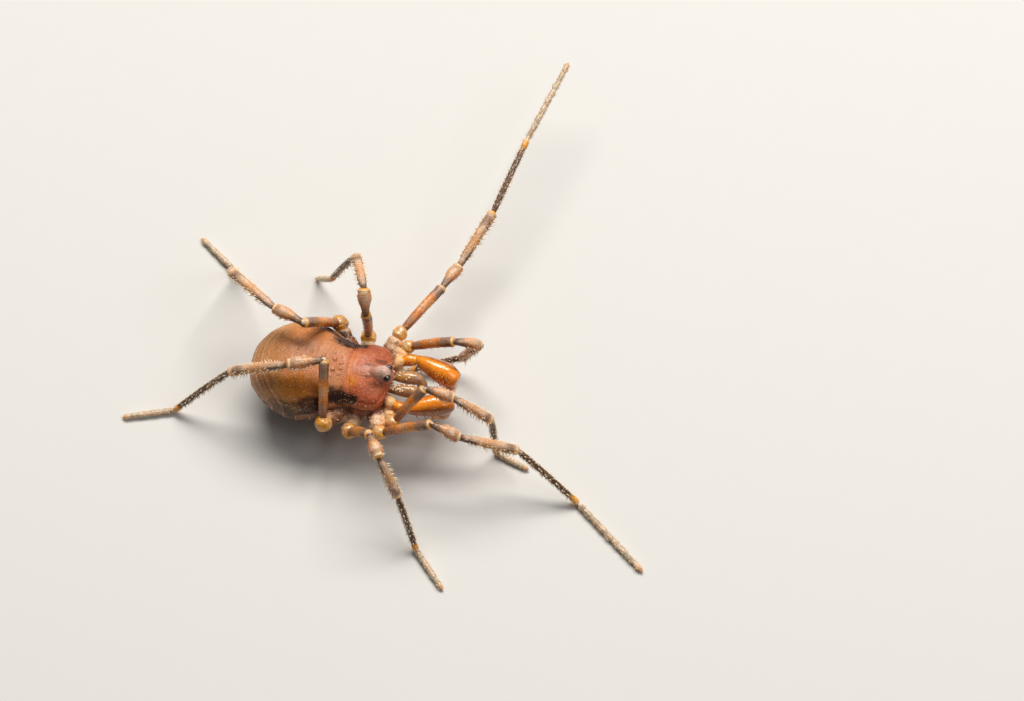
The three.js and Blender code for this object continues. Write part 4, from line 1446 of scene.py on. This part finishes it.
def add_foot_claws(bm, leg, foot, material):
    """One hooked claw on the two front pairs, and three prongs on the two hind ones. None points so
    steeply down that it would pass the floor."""
    steepest = -0.2
    end, aim, up, side = foot.frame(foot.length)
    for spread in (0.0,) if leg < 3 else (0.0, 0.55, -0.55):
        way = aim + side * spread
        way = Vector((way.x, way.y, max(way.z, steepest))).normalized()
        length = 0.24 if spread == 0 else 0.19
        add_horn(bm, end - aim * 0.06 + up * 0.01, way, Vector((0, 0, -0.3)), length, 0.032, material,
                 sides=8, rings=9)


def build_leg(leg, word):
    """A whole leg as one piece, with a finish for each joint and for its foot claws."""
    limbs = leg_limbs(leg, word)
    bm = bmesh.new()
    names = ["trochanter", *JOINTS]
    for index, joint in enumerate(names):
        step = 0.03 if joint in ("trochanter", "tarsus") else 0.045
        verts = add_limb(bm, limbs[joint], 30, step, index, leg_skin(joint, leg))
        grains = 0.004 if joint in ("tarsus", "metatarsus") else 0.011
        lumps = 0.05 if joint == "trochanter" else 0.012
        if joint == "trochanter":
            verts += add_ball(bm, bead_centre(leg, word), LEGS[leg]["radius"] * BEAD_SWELL[leg], 30, index)
        emboss(bm, verts, lambda vert: grains * grain(vert.co, 0.09) + lumps * noise.noise(vert.co * 4.5))
    add_foot_claws(bm, leg, limbs["tarsus"], material=len(names))
    finishes = ["Bead shell", *(f"{joint.capitalize()} shell" for joint in JOINTS), "Claw shell"]
    nodes = [f"leg_{leg}_{word}_{joint}" for joint in names]
    return finish_piece(bm, f"leg_{leg}_{word}", finishes, nodes)


# Coat: many small forms joined into one mesh

# A root that a small form stands on: its place, the way out, the way it leans, length, radius, place on the
# unwrap of the skin, and how dark it is
Root = namedtuple("Root", ("place", "out", "lean", "length", "radius", "unwrap", "tone"))


def template(kind):
    """A small form of unit length and radius along +Z: a hair, a peg or a granule."""
    bm = bmesh.new()
    if kind == "granule":
        bmesh.ops.create_icosphere(bm, subdivisions=1, radius=1.0)
    else:
        sides, cuts, bend = (4, 2, 1.76) if kind == "hair" else (5, 1, 0.8)
        bmesh.ops.create_cone(bm, cap_ends=True, segments=sides, radius1=1.0, radius2=0.06, depth=1.0)
        bmesh.ops.translate(bm, verts=bm.verts, vec=(0, 0, 0.5))
        for cut in range(1, cuts + 1):
            bmesh.ops.bisect_plane(bm, geom=bm.verts[:] + bm.edges[:] + bm.faces[:],
                                   plane_co=(0, 0, cut / (cuts + 1)), plane_no=(0, 0, 1))
        for vert in bm.verts:
            vert.co.x += bend * vert.co.z ** 2
    bmesh.ops.triangulate(bm, faces=bm.faces)
    bm.verts.index_update()
    corners = np.array([vert.co for vert in bm.verts])
    faces = np.array([[vert.index for vert in face.verts] for face in bm.faces])
    bm.free()
    return corners, faces


def scatter(name, kind, roots, label):
    """Copies of a small form on its roots, joined into one piece with one finish."""
    if not roots:
        raise RuntimeError(f"{name} has nothing to scatter")
    corners, faces = template(kind)
    count, size = len(roots), len(corners)
    points = np.empty((count, size, 3))
    for i, root in enumerate(roots):
        side = root.out.cross(root.lean)
        side = side.normalized() if side.length > 1e-6 else root.out.orthogonal().normalized()
        across = side.cross(root.out).normalized()
        axes = np.array([across * root.radius, side * root.radius, root.out * root.length])
        points[i] = corners @ axes + np.array(root.place)
    points = points.reshape(-1, 3) * MM + np.array(ORIGIN)
    all_faces = (faces[None] + (np.arange(count) * size)[:, None, None]).reshape(-1, 3)
    mesh = bpy.data.meshes.new(name)
    mesh.from_pydata(points.tolist(), [], all_faces.tolist())
    mesh.polygons.foreach_set("use_smooth", np.ones(len(all_faces), bool))
    # each copy has a small square of the unwrap round its root's place
    square = 0.003
    offsets = corners[:, :2] / max(np.abs(corners[:, :2]).max(), 1e-9) * square / 2
    unwrap = np.array([root.unwrap for root in roots])
    spots = (unwrap[:, None, :] + offsets[None]).reshape(-1, 2)
    layer = mesh.uv_layers.new(name="OFBake")
    layer.data.foreach_set("uv", np.clip(spots[all_faces.ravel()], 0.0, 1.0).astype(np.float32).ravel())
    heights = np.clip(corners[:, 2], 0.0, 1.0)
    for field, values in (("along", np.tile(heights, count)),
                          ("tone", np.repeat([root.tone for root in roots], size))):
        made = mesh.attributes.new(field, "FLOAT", "POINT")
        made.data.foreach_set("value", values.astype(np.float32))
    mesh.validate()
    return place_piece(mesh, name, [label], [])


# Hairs on each leg joint: how many on a millimetre, share of the longest, and how far they lean
LEG_HAIRS = {
    "femur": (10, 0.45, 0.7), "patella": (14, 0.5, 0.7), "tibia": (28, 0.75, 0.6),
    "metatarsus": (50, 0.8, 0.6), "tarsus": (90, 0.75, 0.6),
}
# Rows of pegs: joint, angle from the top, first and last share, spacing in millimetres, size and lean
PEG_ROWS = (
    ("femur", 2.2, 0.2, 0.95, 0.3, 0.6, 0.5), ("patella", 1.5, 0.35, 0.92, 0.14, 0.8, 0.6),
    ("patella", 2.3, 0.4, 0.92, 0.16, 0.9, 0.6), ("tibia", 1.55, 0.14, 0.97, 0.17, 1.15, 0.55),
    ("tibia", 2.3, 0.14, 0.97, 0.19, 1.25, 0.5), ("tibia", 1.0, 0.3, 0.97, 0.26, 0.6, 0.8),
    ("metatarsus", 1.5, 0.05, 0.86, 0.19, 0.9, 0.7), ("metatarsus", 0.6, 0.05, 0.86, 0.3, 0.6, 1.2),
    ("metatarsus", 2.4, 0.05, 0.86, 0.2, 1.0, 0.7),
)
RIM_GRANULES = 13


def turned(around):
    """A turn as a share of a whole one, from 0 to 1."""
    return (around / (2 * math.pi)) % 1.0


def leg_unwrap(index, share, around):
    """Each joint is a strip of the unwrap, with the length across and the turn upwards."""
    strips = len(JOINTS) + 1
    return ((index + 0.02 + 0.96 * share) / strips, turned(around))


def near_floor(point):
    """Whether a tip would be within 0.06 mm of the floor or below it."""
    return point.z < 0.06 - TROCHANTER_HEIGHT


def bead_granules(draw, bead):
    """Granules on the upper side of a bead."""
    roots = []
    for _ in range(46):
        share, around = draw.uniform(0.3, 0.95), draw.uniform(-2.0, 2.0)
        place, out, along = bead.skin(bead.length * share, around)
        seat = 0.026 * draw.uniform(0.6, 1.2)
        roots.append(Root(place - out * 0.004, out, along, seat * 0.7, seat, leg_unwrap(0, share, around),
                          draw.uniform(0, 0.3)))
    return roots


def leg_hairs(draw, leg, limbs):
    """Fine hairs on all joints, longest and densest on the feet, and more so on the second pair."""
    roots = []
    for index, joint in enumerate(JOINTS, start=1):
        limb = limbs[joint]
        density, share_of_longest, lean = LEG_HAIRS[joint]
        bristly = 1.25 if leg == 2 and joint == "tarsus" else 1.0
        for _ in range(int(limb.length * density * bristly)):
            share, around = draw.uniform(0.03, 0.99), draw.uniform(-math.pi, math.pi)
            place, out, along = limb.skin(limb.length * share, around)
            tilt = lean * draw.uniform(0.7, 1.2)
            way = (out + along * tilt + Vector([draw.uniform(-0.15, 0.15) for _ in range(3)])).normalized()
            length = sizes().seta / MM * share_of_longest * bristly * draw.uniform(0.65, 1.15)
            if near_floor(place + way * length):
                continue
            radius = sizes().seta_radius / MM * draw.uniform(0.75, 1.1)
            roots.append(Root(place - way * 0.02, way, along, length, radius,
                              leg_unwrap(index, share, around), draw.uniform(0, 0.7)))
    return roots


def leg_pegs(draw, limbs):
    """Rows of pegs on both sides of the joints, and a granule beside every third one."""
    pegs, flecks, granules = [], [], []
    for joint, turn, first, last, spacing, scale, lean in PEG_ROWS:
        limb, index = limbs[joint], 1 + JOINTS.index(joint)
        group = flecks if joint == "metatarsus" else pegs
        count = int(limb.length * (last - first) / spacing)
        for i in range(2 * count):
            share = first + (last - first) * (i // 2 + draw.uniform(0.15, 0.85)) / count
            around = (turn if i % 2 else -turn) + draw.uniform(-0.22, 0.22)
            place, out, along = limb.skin(limb.length * share, around)
            way = (out + along * lean).normalized()
            size = sizes().peg / MM * draw.uniform(0.6, 1.15) * scale
            if near_floor(place + way * size):
                continue
            spot = leg_unwrap(index, share, around)
            group.append(Root(place - out * 0.012, way, along, size, 0.034, spot, draw.uniform(0, 0.3)))
            if i % 3 == 0:
                seat = sizes().granule / MM * draw.uniform(0.7, 1.1)
                granules.append(Root(place - out * 0.006, out, along, seat * 0.8, seat, spot,
                                     draw.uniform(0, 0.4)))
    return pegs, flecks, granules


def rim_granules(draw, limbs):
    """A ring of granules at the ends of patella and tibia."""
    roots = []
    for joint in ("patella", "tibia"):
        limb, index = limbs[joint], 1 + JOINTS.index(joint)
        for i in range(RIM_GRANULES):
            around = (i + draw.uniform(-0.3, 0.3)) / RIM_GRANULES * 2 * math.pi
            share = 0.965 - 0.004 * draw.random()
            place, out, along = limb.skin(limb.length * share, around)
            seat = 0.024 * draw.uniform(0.8, 1.1)
            roots.append(Root(place, out, along, seat, seat, leg_unwrap(index, share, around),
                              draw.uniform(0, 0.6)))
    return roots


def build_leg_coat(leg, word):
    """Hairs, pegs and granules of one leg."""
    draw = random.Random(SEED + leg * 2 + (word == "left"))
    limbs = leg_limbs(leg, word)
    granules = bead_granules(draw, limbs["trochanter"])
    hairs = leg_hairs(draw, leg, limbs)
    pegs, flecks, peg_granules = leg_pegs(draw, limbs)
    granules += peg_granules + rim_granules(draw, limbs)
    name = f"leg_{leg}_{word}"
    scatter(f"{name}_hairs", "hair", hairs, "Pale hair")
    scatter(f"{name}_pegs", "peg", pegs, "Leg spine")
    scatter(f"{name}_flecks", "peg", flecks, "Pale hair")
    scatter(f"{name}_granules", "granule", granules, "Pale granule")


def shell_finder(piece):
    """A way to find the surface of a piece below a place over the back, in the animal's millimetres."""
    inverse = TO_FRAME.inverted()
    mesh = piece.data
    tree = BVHTree.FromPolygons([inverse @ vert.co for vert in mesh.vertices],
                                [list(face.vertices) for face in mesh.polygons])

    def find(x, y):
        height_above = 6.0
        place, normal, _, _ = tree.ray_cast(Vector((x, y, height_above)), Vector((0, 0, -1)))
        return place, normal
    return find


def half_width_at(x):
    """Half the width of the shield at a place along the trunk."""
    low, high = 0.0, 1.0
    for _ in range(24):
        middle = (low + high) / 2
        low, high = (middle, high) if trunk_station(middle)[0] > x else (low, middle)
    return trunk_station(low)[1]


def build_back_coat():
    """Granules over the back and along its plates, with a short hair on some of them."""
    draw = random.Random(SEED)
    find = shell_finder(bpy.data.objects["dorsal_shield"])
    granules, hairs = [], []
    backward = Vector((-1, 0, 0))

    def plant(x, y, size, hairy):
        place, out = find(x, y)
        if place is None or out.z < 0.12:
            return
        spot = (clamp((x + 7.1) / 7.4, 0, 1), clamp(0.5 + y / 5.2, 0, 1))
        granules.append(Root(place - out * size * 0.2, out, backward, size * 0.9, size, spot,
                             draw.uniform(0, 0.6)))
        if draw.random() < hairy:
            way = (out + backward * 0.7).normalized()
            hairs.append(Root(place, way, backward, draw.uniform(0.07, 0.12), 0.009, spot,
                              draw.uniform(0, 0.4)))

    size = sizes().granule / MM
    # rows just ahead of two plate edges, then across the back behind its grooves
    in_row, spacing = 44, 0.1
    for edge in (PLATE_EDGES[1], PLATE_EDGES[3]):
        for i in range(in_row):
            y = (i - (in_row - 1) / 2) * spacing + draw.uniform(-0.03, 0.03)
            x = edge + 0.04 + PLATE_BEND * y ** 2
            if abs(y) < half_width_at(x):
                plant(x, y, size * draw.uniform(0.3, 0.6), 0.5)
    spacing = 0.25
    for row in (*AREA_GROOVES, -5.0):
        width = half_width_at(row) * 0.85
        for i in range(int(width * 2 / spacing)):
            plant(row - 0.3 + draw.uniform(-0.06, 0.06), -width + (i + draw.random()) * spacing,
                  size * draw.uniform(0.5, 0.8), 0.2)
    # scattered all over, then along both margins
    for _ in range(260):
        x = draw.uniform(-6.3, 0.0)
        width = half_width_at(x)
        plant(x, draw.uniform(-width, width), size * draw.uniform(0.35, 0.75), 0.1)
    in_row, back_end = 60, 5.1
    for i in range(in_row):
        x = -back_end + back_end * (i + draw.random()) / in_row
        for side, _ in SIDES:
            y = side * (half_width_at(x) - draw.uniform(0.03, 0.12))
            plant(x, y, size * draw.uniform(0.35, 0.7), 0.3)
    scatter("back_granules", "granule", granules, "Pale granule")
    scatter("back_hairs", "hair", hairs, "Pale hair")


def build_mouth_coat():
    """Hairs on the pedipalps and coxae, and granules on the chelicerae and coxae."""
    draw = random.Random(SEED + 99)
    hairs, granules = [], []
    for side, word in SIDES:
        for number, (name, limb) in enumerate(palp_limbs(side).items()):
            for _ in range(int(limb.length * PALP_HAIRS[name])):
                share, around = draw.uniform(0.1, 1.0), draw.uniform(-math.pi, math.pi)
                # the club's upper side is bald near its root
                if name == "club" and share < 0.6 and abs(around) < 1.2:
                    continue
                place, out, along = limb.skin(limb.length * share, around)
                way = (out + along * 0.55).normalized()
                spot = ((number + share) / len(PALP_HAIRS), turned(around))
                hairs.append(Root(place - way * 0.01, way, along, draw.uniform(0.07, 0.16), 0.009, spot,
                                  draw.uniform(0, 0.5)))
        limb = jaw_limb(side)
        for _ in range(JAW_GRANULES[word]):
            share, around = draw.uniform(0.1, 0.85), draw.uniform(-0.8, 0.8)
            place, out, along = limb.skin(limb.length * share, around)
            size = draw.uniform(0.04, 0.065)
            granules.append(Root(place, out, along, size, size, (share, around / 6 + 0.5),
                                 draw.uniform(0, 0.3)))
        for leg in LEGS:
            limb = coxa_limb(leg, side, word)
            for _ in range(75):
                share, around = draw.uniform(0.35, 0.93), draw.uniform(-math.pi, math.pi)
                place, out, along = limb.skin(limb.length * share, around)
                size = draw.uniform(0.02, 0.042)
                spot = (share, turned(around))
                granules.append(Root(place, out, along, size, size, spot, draw.uniform(0, 0.35)))
                if draw.random() < 0.35:
                    way = (out + along * 0.4).normalized()
                    hairs.append(Root(place, way, along, draw.uniform(0.08, 0.14), 0.01, spot, 0.1))
    scatter("mouth_hairs", "hair", hairs, "Pale hair")
    scatter("coxa_granules", "granule", granules, "Pale granule")


# Stage
def photo_axes():
    """Right, up and back of the photograph's camera."""
    right = Vector((math.cos(CAMERA_TURN), math.sin(CAMERA_TURN), 0))
    back = Vector((math.sin(CAMERA_TURN) * math.cos(CAMERA_HEIGHT),
                   -math.cos(CAMERA_TURN) * math.cos(CAMERA_HEIGHT), math.sin(CAMERA_HEIGHT)))
    return right, back.cross(right), back


def add_camera():
    """The photograph's camera, whose picture has the animal's own origin at the same pixel."""
    right, up, back = photo_axes()
    across = ORIGIN_PIXEL[0] - PHOTO_WIDTH / 2
    above = PHOTO_HEIGHT / 2 - ORIGIN_PIXEL[1]
    place = ORIGIN + (back * CAMERA_PIXELS_AWAY - right * across - up * above) * PIXEL * MM
    data = bpy.data.cameras.new("Photo camera")
    data.sensor_width = SENSOR
    data.lens = SENSOR * CAMERA_PIXELS_AWAY / PHOTO_WIDTH
    data.clip_start, data.clip_end = 0.001, 10.0
    camera = bpy.data.objects.new("Photo camera", data)
    bpy.context.scene.collection.objects.link(camera)
    camera.matrix_world = Matrix.Translation(place) @ Matrix((right, up, back)).transposed().to_4x4()
    bpy.context.scene.camera = camera


def add_light(name, aim, size, power, tint=(1, 1, 1)):
    """A soft light on the side that aim gives, turned towards the animal."""
    data = bpy.data.lights.new(name, "AREA")
    data.shape = "RECTANGLE"
    data.size, data.size_y = size
    data.energy = power
    data.color = tint
    light = bpy.data.objects.new(name, data)
    bpy.context.scene.collection.objects.link(light)
    light.location = ORIGIN + aim.normalized() * LIGHT_DISTANCE
    light.rotation_euler = aim.to_track_quat("Z", "Y").to_euler()


def paper_material(tint):
    """Pale paper with faint flecks."""
    material, tree = empty_material("Pale floor")
    where = put(tree, "ShaderNodeTexCoord").outputs["Object"]
    fleck = put(tree, "ShaderNodeTexNoise", {"Vector": where, "Scale": 900.0, "Detail": 2.0})
    share = ranged(tree, fleck.outputs["Fac"], 0.3, 0.7, 0.0, 0.06)
    base = mixed(tree, share, (*tint, 1), (0.6, 0.58, 0.55, 1))
    shader = put(tree, "ShaderNodeBsdfPrincipled", {"Base Color": base, "Roughness": 0.85})
    put(tree, "ShaderNodeOutputMaterial", {"Surface": shader.outputs[0]})
    return material


def build_stage():
    """Floor, sky, two soft lights and the camera."""
    stage = bpy.context.scene.harvestman_stage
    bm = bmesh.new()
    bmesh.ops.create_grid(bm, x_segments=8, y_segments=8, size=1.5)
    mesh = bpy.data.meshes.new("floor")
    bm.to_mesh(mesh)
    bm.free()
    mesh.materials.append(paper_material(stage.floor))
    floor = bpy.data.objects.new("floor", mesh)
    bpy.context.scene.collection.objects.link(floor)
    right, up, back = photo_axes()
    add_light("Key light", back * 0.52 + up * 0.86 + right * 0.06, (0.28, 0.11), stage.key, (1, 0.96, 0.91))
    add_light("Side light", back * 0.75 + up * 0.2 + right * 0.6, (0.15, 0.15), stage.rim)
    world = bpy.data.worlds.new("Studio")
    bpy.context.scene.world = world
    world.use_nodes = True
    sky = world.node_tree.nodes["Background"]
    sky.inputs["Color"].default_value = (0.96, 0.98, 1.0, 1.0)
    sky.inputs["Strength"].default_value = stage.sky
    add_camera()
    bpy.context.scene.view_settings.view_transform = "Standard"


class HARVESTMAN_OT_stage(bpy.types.Operator):
    """Adds the pale floor, the soft lights and the photograph's camera"""

    bl_idname = "harvestman.stage"
    bl_label = "Floor, lights and camera"

    def execute(self, context):
        build_stage()
        return {"FINISHED"}


class HARVESTMAN_OT_shield(bpy.types.Operator):
    """Adds the back's shield with its groove, warts and hind plates"""

    bl_idname = "harvestman.shield"
    bl_label = "Shield"

    def execute(self, context):
        build_shield()
        return {"FINISHED"}


class HARVESTMAN_OT_underside(bpy.types.Operator):
    """Adds flanks, belly and coxae as one skin"""

    bl_idname = "harvestman.underside"
    bl_label = "Flanks, belly and coxae"

    def execute(self, context):
        build_underside()
        return {"FINISHED"}


class HARVESTMAN_OT_head(bpy.types.Operator):
    """Adds the eye mound and both eyes"""

    bl_idname = "harvestman.head"
    bl_label = "Eye mound and eyes"

    def execute(self, context):
        build_mound()
        build_eyes()
        return {"FINISHED"}


class HARVESTMAN_OT_chelicerae(bpy.types.Operator):
    """Adds the two chelicerae with their fingers and teeth"""

    bl_idname = "harvestman.chelicerae"
    bl_label = "Chelicerae"

    def execute(self, context):
        build_chelicerae()
        return {"FINISHED"}


class HARVESTMAN_OT_pedipalps(bpy.types.Operator):
    """Adds the pedipalps with their spines and claws"""

    bl_idname = "harvestman.pedipalps"
    bl_label = "Pedipalps"

    def execute(self, context):
        build_pedipalps()
        return {"FINISHED"}


class HARVESTMAN_OT_legs(bpy.types.Operator):
    """Adds the eight legs"""

    bl_idname = "harvestman.legs"
    bl_label = "Legs"

    def execute(self, context):
        for leg in LEGS:
            for _, word in SIDES:
                build_leg(leg, word)
        return {"FINISHED"}


class HARVESTMAN_OT_coat(bpy.types.Operator):
    """Adds hairs, pegs and granules on legs, back and mouthparts"""

    bl_idname = "harvestman.coat"
    bl_label = "Hairs and granules"

    def execute(self, context):
        for leg in LEGS:
            for _, word in SIDES:
                build_leg_coat(leg, word)
        build_back_coat()
        build_mouth_coat()
        return {"FINISHED"}


STEPS = (
    HARVESTMAN_OT_stage, HARVESTMAN_OT_shield, HARVESTMAN_OT_underside, HARVESTMAN_OT_head,
    HARVESTMAN_OT_chelicerae, HARVESTMAN_OT_pedipalps, HARVESTMAN_OT_legs, HARVESTMAN_OT_coat,
)


class HARVESTMAN_PT_panel(bpy.types.Panel):
    """Steps and settings of the harvestman"""

    bl_label = "Harvestman"
    bl_idname = "HARVESTMAN_PT_panel"
    bl_space_type = "VIEW_3D"
    bl_region_type = "UI"
    bl_category = "Harvestman"

    def draw(self, context):
        for step in STEPS:
            self.layout.operator(step.bl_idname)
        for settings in ("harvestman_sizes", "harvestman_colours", "harvestman_stage"):
            group = getattr(context.scene, settings)
            box = self.layout.box()
            for name in group.bl_rna.properties.keys():
                if name not in ("rna_type", "name"):
                    box.prop(group, name)


GROUPS = (
    ("harvestman_sizes", HarvestmanSizes), ("harvestman_colours", HarvestmanColours),
    ("harvestman_stage", HarvestmanStage),
)


def register():
    for name, group in GROUPS:
        bpy.utils.register_class(group)
        setattr(bpy.types.Scene, name, PointerProperty(type=group))
    for step in STEPS:
        bpy.utils.register_class(step)
    bpy.utils.register_class(HARVESTMAN_PT_panel)


def unregister():
    bpy.utils.unregister_class(HARVESTMAN_PT_panel)
    for step in reversed(STEPS):
        bpy.utils.unregister_class(step)
    for name, group in reversed(GROUPS):
        delattr(bpy.types.Scene, name)
        bpy.utils.unregister_class(group)


def main():
    register()
    bpy.ops.harvestman.stage()
    bpy.ops.harvestman.shield()
    bpy.ops.harvestman.underside()
    bpy.ops.harvestman.head()
    bpy.ops.harvestman.chelicerae()
    bpy.ops.harvestman.pedipalps()
    bpy.ops.harvestman.legs()
    bpy.ops.harvestman.coat()


if __name__ == "__main__":
    main()
